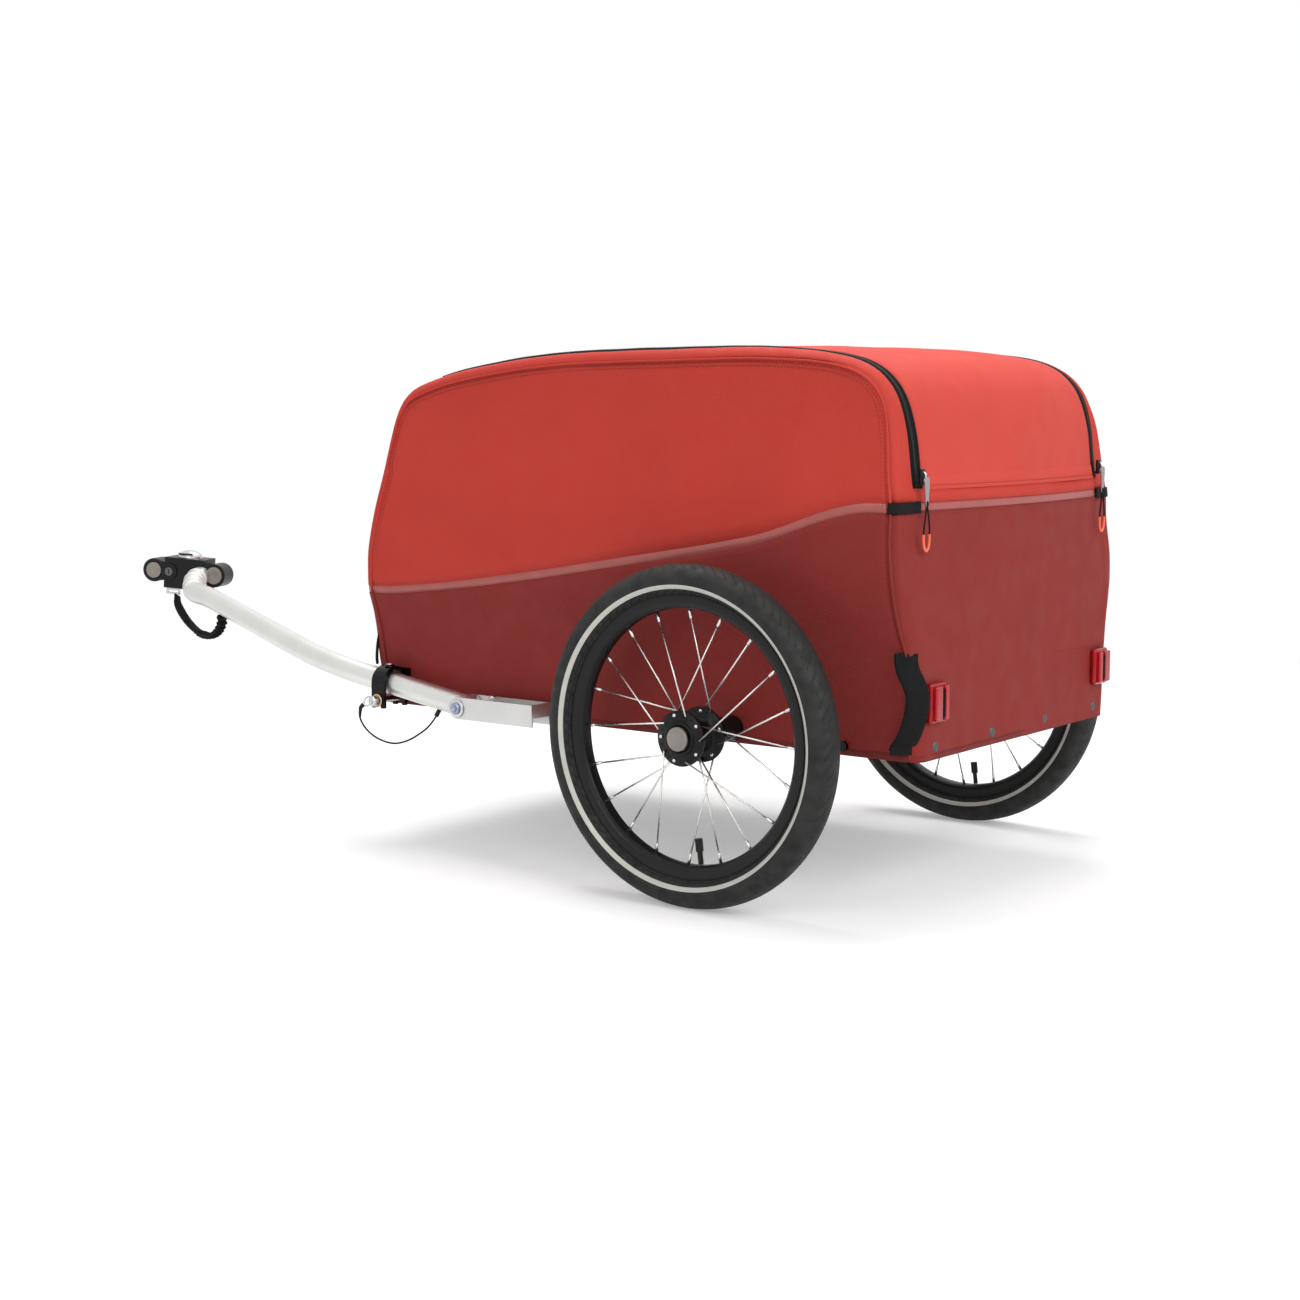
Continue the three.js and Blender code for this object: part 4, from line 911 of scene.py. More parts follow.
# Share of the length, share of the height, over the roof from front to rear
roof_shares = np.array([
    (-0.3, -0.25), (-0.11, 0.4), (-0.04, 0.535), (-0.003, 0.66), (0.019, 0.765), (0.043, 0.855),
    (0.068, 0.898), (0.11, 0.925), (0.2, 0.96), (0.32, 0.985), (0.46, 0.998), (0.62, HIGHEST_SHARE),
    (0.74, 1), (0.81, 0.995), (0.872, 0.985), (0.92, 0.968), (0.955, 0.938), (0.981, 0.885),
    (0.998, 0.79), (1.008, 0.68), (1.04, 0.56), (1.1, 0.4), (1.3, -0.25),
])
# The band's upper edge: share of the length, share of its rise
seam_shares = np.array([
    (-0.1, 0), (0.015, 0), (0.1, 0.04), (0.3, 0.205), (0.52, 0.43), (0.75, 0.68), (0.948, 1), (1.1, 1),
])
SEAM_FRONT = 0.340
SEAM_REAR = 0.472
BAND = 0.010


def smooth_through(knots, values):
    """A curve through the values with no overshoot, for arrays."""
    step = np.diff(knots)
    slope = np.diff(values) / step
    tangent = np.zeros(len(values))
    tangent[0], tangent[-1] = slope[0], slope[-1]
    for i in range(1, len(slope)):
        if slope[i - 1] * slope[i] > 0:
            first, second = 2 * step[i] + step[i - 1], step[i] + 2 * step[i - 1]
            tangent[i] = (first + second) / (first / slope[i - 1] + second / slope[i])

    def at(value):
        i = np.clip(np.searchsorted(knots, value) - 1, 0, len(step) - 1)
        t = np.clip((value - knots[i]) / step[i], 0, 1)
        return (
            (1 + 2 * t) * (1 - t) ** 2 * values[i]
            + t * (1 - t) ** 2 * step[i] * tangent[i]
            + t * t * (3 - 2 * t) * values[i + 1]
            + t * t * (t - 1) * step[i] * tangent[i + 1]
        )

    return at


levels, *wall_rows = wall_shares.T
front_at, rear_at, side_at, bow_at = [smooth_through(levels, row) for row in wall_rows]
seam_rise = smooth_through(seam_shares[:, 0], seam_shares[:, 1])


def turn_of(across, up):
    turn = np.arctan2(up, across)
    return np.where(turn < -math.pi / 2, turn + 2 * math.pi, turn)


def profile_table():
    """The roof's outline round a centre: turn, reach and how square it is to the reach."""
    steps = np.hypot(*np.diff(roof_shares * (LENGTH, HEIGHT), axis=0).T)
    spans = np.concatenate([[0], np.cumsum(steps)])
    fine = np.linspace(0, spans[-1], PROFILE_STEPS)
    x = FRONT + LENGTH * smooth_through(spans, roof_shares[:, 0])(fine)
    z = BOTTOM + HEIGHT * smooth_through(spans, roof_shares[:, 1])(fine)
    across, up = x - PROFILE_CENTRE[0], z - PROFILE_CENTRE[1]
    turn, reach = turn_of(across, up), np.hypot(across, up)
    tangent = np.stack([np.gradient(x), np.gradient(z)])
    tangent /= np.hypot(*tangent)
    square = np.abs(across / reach * tangent[1] - up / reach * tangent[0])
    order = np.argsort(turn)
    return turn[order], reach[order], square[order]


profile_turn, profile_reach, profile_square = profile_table()


def eased(value):
    value = np.clip(value, 0, 1)
    return value * value * (3 - 2 * value)


def outside(points):
    """How far points lie outside the body, below 0 inside, in metres."""
    x, y, z = points.T
    share = (z - BOTTOM) / HEIGHT
    front = FRONT - FRONT_SWELL * front_at(share)
    rear = REAR + REAR_SWELL * rear_at(share)
    back = eased(((x - FRONT) / LENGTH - BACK_FROM) / BACK_RUN)
    wider = REAR_WIDER * back * eased((share - WIDER_FROM) / WIDER_RUN)
    half = HALF + SIDE_SWELL * side_at(share) + wider
    x = x + REAR_BOW * bow_at(share) * np.minimum(np.abs(y) / half, BOW_END) ** 2 * back
    centre = (front + rear) / 2
    corner = np.where(x > centre, REAR_CORNER, FRONT_CORNER)
    past_x = np.abs(x - centre) - ((rear - front) / 2 - corner)
    past_y = np.abs(y) - (half - corner)
    within = np.minimum(np.maximum(past_x, past_y), 0)
    wall = np.hypot(np.maximum(past_x, 0), np.maximum(past_y, 0)) + within - corner
    dropped = z + CROWN * (np.minimum(np.abs(y) / HALF, CROWN_END) ** CROWN_POWER - 1)
    across, up = x - PROFILE_CENTRE[0], dropped - PROFILE_CENTRE[1]
    turn = turn_of(across, up)
    reach = np.interp(turn, profile_turn, profile_reach, left=3, right=3)
    roof = (np.hypot(across, up) - reach) * np.interp(turn, profile_turn, profile_square)
    near = np.maximum(EDGE_BLEND - np.abs(wall - roof), 0) / EDGE_BLEND
    return np.maximum(wall, roof) + near * near * EDGE_BLEND / 4


def cast(origins, ways, far):
    """Where rays from inside meet the body's surface."""
    ways = np.asarray(ways, float)
    origins = np.broadcast_to(np.asarray(origins, float), ways.shape)
    low = np.zeros(len(origins))
    high = np.full(len(origins), far)
    for _ in range(HALVINGS):
        centre = (low + high) / 2
        inside = outside(origins + ways * centre[:, None]) < 0
        low = np.where(inside, centre, low)
        high = np.where(inside, high, centre)
    return origins + ways * low[:, None]


# The cover's grid: stations from the front hem over the roof to the rear hem, each with points across
LID_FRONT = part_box("lid_roof")[0].x
LID_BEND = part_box("lid_rear")[0].x
LID_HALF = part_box("lid_roof")[1].y
FLAP_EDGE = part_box("lid_rear")[0].z
ZIP_OUT = 2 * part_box("zip_slider_right")[0].y - LID_HALF + 0.013
ZIP_IN = 0.003
FAN_FRONT_Z = 0.50
FAN_REAR_Z = 0.53
HEM = 0.008
ROWS_BELOW, ROWS_BAND, ROWS_ABOVE, FAN_STEPS, ROOF_STEPS = 30, 2, 18, 18, 88
WALL_ROWS = ROWS_BELOW + ROWS_BAND + ROWS_ABOVE
GUSSET_STEPS = 9
GUSSET_REACH = 0.2
WALL_INSET = 0.017
ROOF_INSET = 0.012
INSET_LOSS = 0.004
INSET_RUN = 0.14
INSET_START = 0.12
SIDE_ORIGIN = 0.1
CLOTH = 0.0012
BAND_CLOTH = 0.0006
TAPE_CLOTH = 0.0008
CLOTH_MERGE_GAP = 2e-5
GUSSET_ORIGIN = 3.0
SIDE_CLOTH_ORIGIN = 6.0


def wall_heights(seam, above):
    below = np.linspace(BOTTOM + HEM, seam - BAND, ROWS_BELOW)
    return [BOTTOM, *below, seam - BAND / 2, *above]


def station_list():
    """Each station: origin x and z, and direction x and z."""
    front_rows = wall_heights(SEAM_FRONT, np.linspace(SEAM_FRONT, FAN_FRONT_Z, ROWS_ABOVE + 1))
    rear_rows = wall_heights(SEAM_REAR, [SEAM_REAR, *np.linspace(FLAP_EDGE, FAN_REAR_Z, ROWS_ABOVE)])
    turns = [math.pi / 2 * k / FAN_STEPS for k in range(1, FAN_STEPS)]
    rows = [(LID_FRONT, z, -1, 0) for z in front_rows]
    rows += [(LID_FRONT, FAN_FRONT_Z, -math.cos(turn), math.sin(turn)) for turn in turns]
    for share in np.linspace(0, 1, ROOF_STEPS + 1):
        x = LID_FRONT + (LID_BEND - LID_FRONT) * share
        rows.append((x, FAN_FRONT_Z + (FAN_REAR_Z - FAN_FRONT_Z) * share, 0, 1))
    rows += [(LID_BEND, FAN_REAR_Z, math.sin(turn), math.cos(turn)) for turn in turns]
    return rows + [(LID_BEND, z, 1, 0) for z in rear_rows[::-1]]


stations = station_list()
STATION_COUNT = len(stations)
FRONT_CORNER_STATION = WALL_ROWS + FAN_STEPS // 2
REAR_CORNER_STATION = STATION_COUNT - 1 - FRONT_CORNER_STATION
across_stations = np.concatenate([
    [-ZIP_OUT, -(ZIP_OUT + LID_HALF) / 2, -LID_HALF],
    np.linspace(ZIP_IN - LID_HALF, LID_HALF - ZIP_IN, 53),
    [LID_HALF, (ZIP_OUT + LID_HALF) / 2, ZIP_OUT],
])

# Waves that taut cloth keeps: height in metres, then waves to the metre and a shift for each axis
cloth_waves = [
    (0.0011, (5, 6, 7), (0, 0, 0)),
    (0.0007, (16, 16, 3), (7, 0, 0)),
    (0.0003, (34, 34, 26), (0, 3, 0)),
]


def rippled(points, ways):
    lifts = [
        sum(
            height * noise.noise(Vector([p * w + s for p, w, s in zip(point, waves, shift)]))
            for height, waves, shift in cloth_waves
        )
        for point in points
    ]
    return points + ways * np.array(lifts)[:, None]


def strip_grid():
    """The front, roof and rear between the outer edges of the zips."""
    origins = np.array([(x, y, z) for x, z, _, _ in stations for y in across_stations])
    ways = np.array([(dx, 0, dz) for _, _, dx, dz in stations for _ in across_stations], float)
    return rippled(cast(origins, ways, FAR), ways).reshape(STATION_COUNT, len(across_stations), 3)


def side_inset(index):
    """How far the side seam lies inside the outline, a little less at the rear than over the roof."""
    if index < WALL_ROWS:
        return WALL_INSET
    past = (index - REAR_CORNER_STATION) / (STATION_COUNT - 1) / INSET_RUN + INSET_START / INSET_RUN
    return ROOF_INSET - INSET_LOSS * eased(past)


def gusset_grid(strip_edge, side):
    """From the strip's edge round the corner to the side seam."""
    turns = [math.pi / 2 * k / GUSSET_STEPS for k in range(1, GUSSET_STEPS + 1)]
    rows = []
    for index, (_, _, dx, dz) in enumerate(stations):
        outward = np.array((dx, 0.0, dz))
        start = strip_edge[index] - outward * side_inset(index)
        start[1] = side * ZIP_OUT
        ways = np.array([outward * math.cos(t) + np.array((0, side * math.sin(t), 0)) for t in turns])
        rows.append(rippled(cast(start, ways, GUSSET_REACH), ways))
    return np.array(rows)


def on_side(flat, side, lift=0.0):
    """Points on the side wall at each x and z, lifted off it."""
    flat = np.asarray(flat, float)
    origins = np.stack([flat[:, 0], np.full(len(flat), side * SIDE_ORIGIN), flat[:, 1]], axis=1)
    points = cast(origins, np.tile((0.0, float(side), 0.0), (len(flat), 1)), NEAR)
    points[:, 1] += side * lift
    return points


def side_grid(boundary, side):
    """A square grid stretched over the side, with rows that follow the band."""
    first, last = FRONT_CORNER_STATION, REAR_CORNER_STATION
    edges = boundary[: first + 1], boundary[first : last + 1], boundary[last:][::-1]
    left, top, right = [edge[:, [0, 2]] for edge in edges]
    rows, columns = len(left), len(top)
    u = np.linspace(0, 1, columns)[None, :, None]
    v = np.linspace(0, 1, rows)[:, None, None]
    bottom = left[0] + (right[0] - left[0]) * u
    plane = (
        (1 - v) * bottom
        + v * top[None]
        + (1 - u) * left[:, None]
        + u * right[:, None]
        - (1 - v) * ((1 - u) * left[0] + u * right[0])
        - v * ((1 - u) * left[-1] + u * right[-1])
    )
    for j in range(1, columns - 1):
        heights = plane[:, j, 1].copy()
        share = float(seam_rise((plane[ROWS_BELOW, j, 0] - FRONT) / LENGTH))
        seam = SEAM_FRONT + (SEAM_REAR - SEAM_FRONT) * share
        knots = heights[[0, 1, ROWS_BELOW, ROWS_BELOW + ROWS_BAND, -1]]
        plane[:, j, 1] = np.interp(heights, knots, [BOTTOM, BOTTOM + HEM, seam - BAND, seam, heights[-1]])
    ways = np.tile((0.0, float(side), 0.0), (rows * columns, 1))
    points = rippled(on_side(plane.reshape(-1, 2), side), ways).reshape(rows, columns, 3)
    points[:, 0], points[-1], points[:, -1] = edges
    return points


# The cover's pieces, each with its points, faces and places on the flat cloth
cover_pieces = {}


def add_grid(grid, name_of, flip, origin=(0.0, 0.0)):
    """Shares a grid's faces out among the cover's pieces."""
    along, across = [
        np.insert(np.cumsum(np.linalg.norm(np.diff(grid, axis=axis), axis=2), axis=axis), 0, 0, axis=axis)
        for axis in (0, 1)
    ]
    rows, columns = grid.shape[:2]
    for i in range(rows - 1):
        for j in range(columns - 1):
            corners = [(i, j), (i, j + 1), (i + 1, j + 1), (i + 1, j)]
            points, faces, cloth = cover_pieces.setdefault(name_of(i, j), ([], [], []))
            face = tuple(range(len(points), len(points) + 4))
            faces.append(face[::-1] if flip else face)
            points.extend(grid[c] for c in corners)
            cloth.extend((across[c] + origin[0], along[c] + origin[1]) for c in corners)


def cloth_piece(name, material, thickness=CLOTH):
    points, faces, cloth = cover_pieces[name]
    thing = mesh_object(name, points, faces, material)
    layer = thing.data.uv_layers.new(name="cloth")
    order = np.empty(len(thing.data.loops), int)
    thing.data.loops.foreach_get("vertex_index", order)
    layer.data.foreach_set("uv", np.array(cloth)[order].ravel())
    with edited(thing.data) as work:
        bmesh.ops.remove_doubles(work, verts=work.verts, dist=CLOTH_MERGE_GAP)
    return thickened(thing, thickness, -1)


def wall_name(row):
    """The piece of a row that is counted from the hem."""
    if row < ROWS_BELOW:
        return "cover_lower"
    return "band" if row < ROWS_BELOW + ROWS_BAND else "cover_upper"


def edge_name(i, j):
    return wall_name(min(i, STATION_COUNT - 2 - i))


def strip_name(i, j):
    above_band = STATION_COUNT - 2 - i > ROWS_BELOW + ROWS_BAND
    if i < WALL_ROWS + FAN_STEPS or not above_band:
        return edge_name(i, j)
    from_edge = min(j, len(across_stations) - 2 - j)
    return ("zip_gap", "zip_gap", "lid_tape")[from_edge] if from_edge < 3 else "lid"


strip = strip_grid()
add_grid(strip, strip_name, flip=False)
side_seams = {}
for _, side in SIDES:
    edge = strip[:, 0 if side < 0 else -1]
    gusset = gusset_grid(edge, side)
    corner = np.concatenate([edge[:, None], gusset], axis=1)
    add_grid(corner, edge_name, flip=side < 0, origin=(GUSSET_ORIGIN, 0.0))
    side_seams[side] = gusset[:, -1]
    panel = side_grid(gusset[:, -1], side)
    add_grid(panel, lambda i, j: wall_name(i), flip=side > 0, origin=(SIDE_CLOTH_ORIGIN + side, 0.0))

lower = cloth_piece("cover_lower", red_lower)
dress(lower, "trailer_frame", "lower_fabric", "lower_cover")
upper = cloth_piece("cover_upper", red_side)
dress(upper, "trailer_frame", "upper_fabric", "upper_cover")
band = cloth_piece("band", band_tape, BAND_CLOTH)
dress(band, "trailer_frame", "band_fabric", "reflective_band")
# The lid's lighter tone is painted light on the top and rear.
lid = cloth_piece("lid", red_lid_painted_light)
lid_tape = cloth_piece("lid_tape", zip_web)
for panel, slot in ((lid, "lid_fabric"), (lid_tape, "webbing")):
    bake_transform(panel)
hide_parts("lid_roof", "lid_rear")
zip_tape = cloth_piece("zip_gap", zip_web, TAPE_CLOTH)
dress(zip_tape, "trailer_frame", "webbing", "zipper_left", "zipper_right")


# On the cover: seams, stitches, hem and webbing
SEAM_LIFT = 0.0006
REAR_SEAM = 0.275
PIPING_RADIUS = 0.0015
STITCH = 0.0030
STITCH_GAP = 0.0014
STITCH_RADIUS = 0.00042
SEAM_STITCHES = (0.0045, 0.0085)
HEM_LIFT = 0.0011
HEM_STRIP = (0.0004, 0.0085)
HEM_STITCHES = 0.0066
HEM_TURNS = 721
KEEPER_LIFT = 0.0028
KEEPER_EDGE = 0.0012
KEEPER_EDGE_DROP = 0.0004
KEEPER_THICKNESS = 0.0014
KEEPER_TURNS = (-34, 60)
STRAP_ACROSS = Vector((0.69, 0.724, 0))
stitch_runs = {"red": [], "dark": [], "lid": []}


def even_points(points, step):
    points = np.asarray(points, float)
    spans = np.concatenate([[0], np.cumsum(np.linalg.norm(np.diff(points, axis=0), axis=1))])
    places = np.arange(0, spans[-1], step)
    return np.stack([np.interp(places, spans, points[:, axis]) for axis in range(3)], axis=1)


def stitch_along(points, kind):
    """Threads laid end to end along a line that already lies on the cloth."""
    fine = even_points(points, (STITCH + STITCH_GAP) / 4)
    for start in range(0, len(fine) - 3, 4):
        stitch_runs[kind].append(([Vector(p) for p in fine[start : start + 3]], STITCH_RADIUS))


def on_rear(ys, z, lift):
    """Points on the rear wall at each y and one height, lifted off it."""
    origins = [(LID_BEND, y, z) for y in ys]
    points = cast(origins, np.tile((1.0, 0.0, 0.0), (len(origins), 1)), NEAR)
    points[:, 0] += lift
    return points


def inset_line(line, distance):
    """A line in a plane moved towards the plane shape's middle."""
    way = np.gradient(line, axis=0)
    way /= np.maximum(np.linalg.norm(way, axis=1), 1e-9)[:, None]
    across = np.stack([-way[:, 1], way[:, 0]], axis=1)
    if np.sum((line.mean(axis=0) - line) * across) < 0:
        across = -across
    return line + across * distance


def make_side_seam(side):
    """A piping between the side and its neighbours, with two rows of stitches beside it."""
    fine = even_points(side_seams[side], 0.004)
    fine = np.concatenate([fine[:1], (fine[:-2] + fine[1:-1] + fine[2:]) / 3, fine[-1:]])
    lifted = fine + np.array((0, side * SEAM_LIFT, 0))
    above = lifted[:, 2] > np.interp(lifted[:, 0], [FRONT, REAR], [SEAM_FRONT, SEAM_REAR]) - 0.003
    for name, material, wanted in (("upper", red_side, True), ("lower", red_lower, False)):
        for is_above, group in groupby(range(len(lifted)), key=lambda i: above[i]):
            places = list(group)
            run = [Vector(p) for p in lifted[max(0, places[0] - 1) : places[-1] + 1]]
            if is_above == wanted and len(run) > 2:
                label = "piping_%s_%d_%d" % (name, side > 0, places[0])
                piping = tube_mesh(label, run, PIPING_RADIUS, 8, material)
                dress(piping, "trailer_frame", name + "_fabric")
    for distance in SEAM_STITCHES:
        stitch_along(on_side(inset_line(fine[:, [0, 2]], distance), side, STITCH_RADIUS), "red")


def hem_points(level, lift):
    """A line round the whole cover at one height, from the front's middle and back to it."""
    turns = np.linspace(math.pi, -math.pi, HEM_TURNS)
    ways = np.array([(math.cos(turn), math.sin(turn), 0.0) for turn in turns])
    found = cast((MIDDLE, 0.0, level), ways, FAR)
    outward = np.sign(ways)
    outward[:, 0] *= np.abs(found[:, 0] - MIDDLE) > LENGTH / 2 - 0.02
    outward[:, 1] *= np.abs(found[:, 1]) > HALF - 0.025
    size = np.maximum(np.linalg.norm(outward, axis=1), 1e-6)[:, None]
    return found + outward / size * lift


def make_hem():
    """A strip round the cover's lower edge, with rolled edges, in a darker tone that is painted shade."""
    low, high = [BOTTOM + up for up in HEM_STRIP]
    levels = [low, low, low + MM, (low + high) / 2, high - MM, high, high]
    lift_shares = [0.0, 0.6, 1, 1, 1, 0.6, 0.0]
    rows = [hem_points(level, share * HEM_LIFT) for level, share in zip(levels, lift_shares)]
    dress(skin_mesh("hem", [rows], red_hem_painted_shade), "trailer_frame", "lower_fabric")
    stitch_along(hem_points(BOTTOM + HEM_STITCHES, 0.0013), "dark")


def make_rear_seams():
    low_half = HALF - REAR_CORNER * 0.4
    ys = np.linspace(-low_half, low_half, 90)
    fold = [Vector(p) for p in on_rear(ys, REAR_SEAM, 0.0004)]
    dress(tube_mesh("rear_seam", fold, 0.0008, 6, red_lower), "trailer_frame", "lower_fabric")
    stitch_along(on_rear(ys, REAR_SEAM - 0.004, 0.0003), "dark")


def make_flap_hem():
    """The rolled lower edge of the rear flap."""
    ys = np.linspace(0.003 - LID_HALF, LID_HALF - 0.003, 80)
    section = [(1, 0), (-1.2, 0.2), (-1.6, 1.6), (-0.8, 2.3), (14, 1.4), (16.5, 0)]
    rows = [on_rear(ys, FLAP_EDGE + up, lift) for up, lift in mm(section)]
    # The flap hem shares the lid's lighter tone, which is painted light.
    dress(skin_mesh("flap_hem", [rows], red_lid_painted_light), "lid_rear", "lid_fabric")
    stitch_along(on_rear(ys, FLAP_EDGE + 0.003, 0.0023), "lid")


def make_keeper(side_name, side):
    """Webbing laid round a rear corner, under the zip's end."""
    low, high = SEAM_REAR - 0.0112, SEAM_REAR + 0.0008
    turns = np.radians(np.linspace(*KEEPER_TURNS, 14))
    ways = np.array([(math.cos(t), side * math.sin(t), 0.0) for t in turns])
    rows = []
    for level in (low, low + KEEPER_EDGE, (low + high) / 2, high - KEEPER_EDGE, high):
        half = HALF + REAR_WIDER + SIDE_SWELL * float(side_at((level - BOTTOM) / HEIGHT))
        origin = (REAR - REAR_CORNER - 0.025, side * (half - REAR_CORNER - 0.012), level)
        lift = KEEPER_LIFT - (KEEPER_EDGE_DROP if level in (low, high) else 0)
        rows.append(cast(origin, ways, NEAR) + ways * lift)
    faces = grid_faces(len(rows), len(turns))
    keeper = mesh_object("keeper_" + side_name, np.concatenate(rows), faces, black_web)
    dress(thickened(keeper, KEEPER_THICKNESS, 0), "trailer_frame", "webbing")


def make_corner_strap():
    """The carrying strap on the near rear corner, sewn down at both ends and bowed out between."""
    low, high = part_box("corner_strap")
    upper_rows = [
        (2.2, -4, 0), (2.4, -4.4, -10), (5.8, -4.8, -21), (11.5, -4.2, -31), (16.2, -3, -45),
        (15.5, -2.4, -62), (10.5, -1.8, -80), (3, -0.8, -96),
    ]
    route = relative(Vector((0.7, -0.245, high.z)), upper_rows)
    route += relative(Vector((0.7, -0.245, low.z)), [(-4.5, 0.5, 6), (-7.5, 1.2, 0)])
    path = smooth_path(route, 70)
    strap = ribbon_mesh("carrying_strap", path, STRAP_ACROSS, 0.027, 0.0022, black_web)
    dress(strap, "trailer_frame", "webbing", "corner_strap")
    turn = Matrix.Rotation(math.atan2(STRAP_ACROSS.y, STRAP_ACROSS.x) + math.pi, 4, "Z")
    for mark, size in ((path[4], 0.007), (path[-3], 0.006)):
        name = "strap_patch_%d" % (1000 * mark.z)
        patch = rounded_box(name, (-0.0125, -0.0004, -size), (0.0125, 0.0022, size), 0.0004, black_web, 2)
        patch.matrix_world = Matrix.Translation(mark) @ turn
        dress(patch, "trailer_frame", "webbing")


def make_front_tab():
    """A short webbing tab on the near front corner, low down."""
    bulges = ((-3, 20.5), (-1.2, 11.5), (0.2, -0.5), (0.8, -12.5), (0.2, -20))
    rows = [(-0.75 * out, -0.66 * out, up) for out, up in bulges]
    path = smooth_path(relative(Vector((-0.1215, -0.2362, 0.2525)), rows), 30)
    tab = ribbon_mesh("front_tab", path, Vector((0.66, -0.75, 0)), 0.016, 0.0036, black_web)
    dress(tab, "trailer_frame", "webbing")


for _, side in SIDES:
    make_side_seam(side)
make_hem()
make_rear_seams()
make_flap_hem()
for side_name, side in SIDES:
    make_keeper(side_name, side)
make_corner_strap()
make_front_tab()


# Zips with their sliders, pullers and cord loops
COIL_RADIUS = 0.0016
COIL_PITCH = 0.0021
COIL_LIFT = 0.0007
KNOT_BELOW = 0.030
KNOT_RADIUS = 0.0012
LOOP_SPREAD = 6.2
ZIP_TAB_HALF = 0.0058
PULLER_HALF = 0.0008
SLIDER_ROUND = 0.0016
SLEEVE_WIRE = 0.0017


def make_zip(side_name, side):
    column = 1 if side < 0 else len(across_stations) - 2
    line = [strip[i, column] for i in range(STATION_COUNT) if strip_name(i, 0) == "zip_gap"]
    points = even_points(line, COIL_PITCH / 4)
    ways = np.gradient(points, axis=0)
    outward = np.stack([-ways[:, 2], np.zeros(len(points)), ways[:, 0]], axis=1)
    outward /= np.linalg.norm(outward, axis=1)[:, None]
    outward *= np.sign(outward[:, 2:3] + outward[:, 0:1])
    centre = [Vector(p) for p in points + outward * COIL_LIFT]

    def ribbed(share):
        return COIL_RADIUS * (1 + 0.24 * math.cos(math.pi / 2 * share * (len(centre) - 1)))

    coil = tube_mesh("zip_coil_" + side_name, centre, ribbed, 8, coil_black, WAY_Y)
    dress(coil, "trailer_frame", "webbing")
    across = make_slider(side_name)
    make_puller(side_name, across)
    low = on_rear([across], FLAP_EDGE + 0.001, 0.0004)[0][0]
    high = on_rear([across], FLAP_EDGE + 0.006, 0.0018)[0][0]
    tab = rounded_box(
        "zip_end_" + side_name,
        (low, across - ZIP_TAB_HALF, FLAP_EDGE - 0.0008),
        (high, across + ZIP_TAB_HALF, FLAP_EDGE + 0.0070),
        0.0006,
        black_web,
        2,
    )
    dress(tab, "trailer_frame", "webbing")


def make_slider(side_name):
    """The slider with its bridge. Returns its middle across the body."""
    name = "zip_slider_" + side_name
    low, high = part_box(name)
    centre = (low + high) / 2
    trim = Vector((0, 0.0006, 0))
    body = rounded_box("slider_body", low + trim, high - trim - WAY_X * 0.0015, SLIDER_ROUND, zip_black)
    route = relative(Vector((high.x, centre.y, high.z)), [(-2.4, 0, -3), (-0.2, 0, -5)])
    route += relative(Vector((high.x, centre.y, centre.z)), [(0, 0, 0), (-2.4, 0, -5)])
    bridge = tube_mesh("slider_bridge", smooth_path(route, 20), WIRE_RADIUS, 12, plated)
    dress(join_objects("slider_" + side_name, [body, bridge]), name, "black_metal", name)
    return centre.y


def knot_radius(share):
    return KNOT_RADIUS * (1 + math.sin(math.pi * share))


def make_puller(side_name, y):
    """The puller with its cord loop, knot and sleeve."""
    body = "zip_pull_" + side_name
    low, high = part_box(body)
    x = (low.x + high.x) / 2
    puller = puller_plate("puller_" + side_name, x, y, high.z + 0.0005)
    dress(puller, body, "steel", body)
    knot = Vector((x, y, high.z - KNOT_BELOW))
    loop = []
    for side in (-1, 1):
        spread = side * LOOP_SPREAD
        rows = [(0, 0.4 * side, 1), (0.6, spread * 0.5, -12), (0.4, spread, -28), (0, spread, -38)]
        loop.append((smooth_path(relative(knot, rows), 16), MM))
    dress(several_tubes("pull_cord_" + side_name, loop, 10, black_cord), body, "black_cord")
    path = relative(knot, [(0, 0, 4 - 1.2 * k) for k in range(7)])
    dress(tube_mesh("pull_knot_" + side_name, path, knot_radius, 12, black_cord), body, "black_cord")
    half = [(0, -1, -33), (0, -0.98, -41), (0, -0.62, -48.5)]
    bend = half + [(0, 0, -51.2)] + [(a, -b, c) for a, b, c in half[::-1]]
    path = smooth_path(relative(knot, [(a, b * LOOP_SPREAD, c) for a, b, c in bend]), 40)
    sleeve = tube_mesh("pull_sleeve_" + side_name, path, SLEEVE_WIRE, 14, orange_sleeve, WAY_X)
    dress(sleeve, body, "black_cord")


def puller_plate(name, x, y, top):
    """A flat puller that narrows to a rounded end."""
    outline = mm([(0, 3), (3, 4.6), (8, 4.7), (18, 3.8), (29, 3), (32.5, 2.2), (34, 0)])
    rim = [(y - half, top - down) for down, half in outline]
    rim += [(y + half, top - down) for down, half in outline[-2::-1]]
    rows = [[(x + side * PULLER_HALF, a, b) for a, b in rim] for side in (-1, 1)]
    return bevelled(skin_mesh(name, [rows], puller_steel, closed_columns=True, ends=True), 0.0003, 2, 50)


for side_name, side in SIDES:
    make_zip(side_name, side)


# Reflectors and rivets
REFLECTOR_WRAP = 0.0095
REFLECTOR_LEVEL = 0.248
REFLECTOR_CUTS = 8
CASE_EDGE_IN, CASE_EDGE_OUT = 0.0030, 0.0034
LENS_GAP = 0.0030
LENS_SPLIT = 0.40
CASE_ROUND, LENS_ROUND, SLOT_ROUND = 0.0040, 0.0018, 0.0003


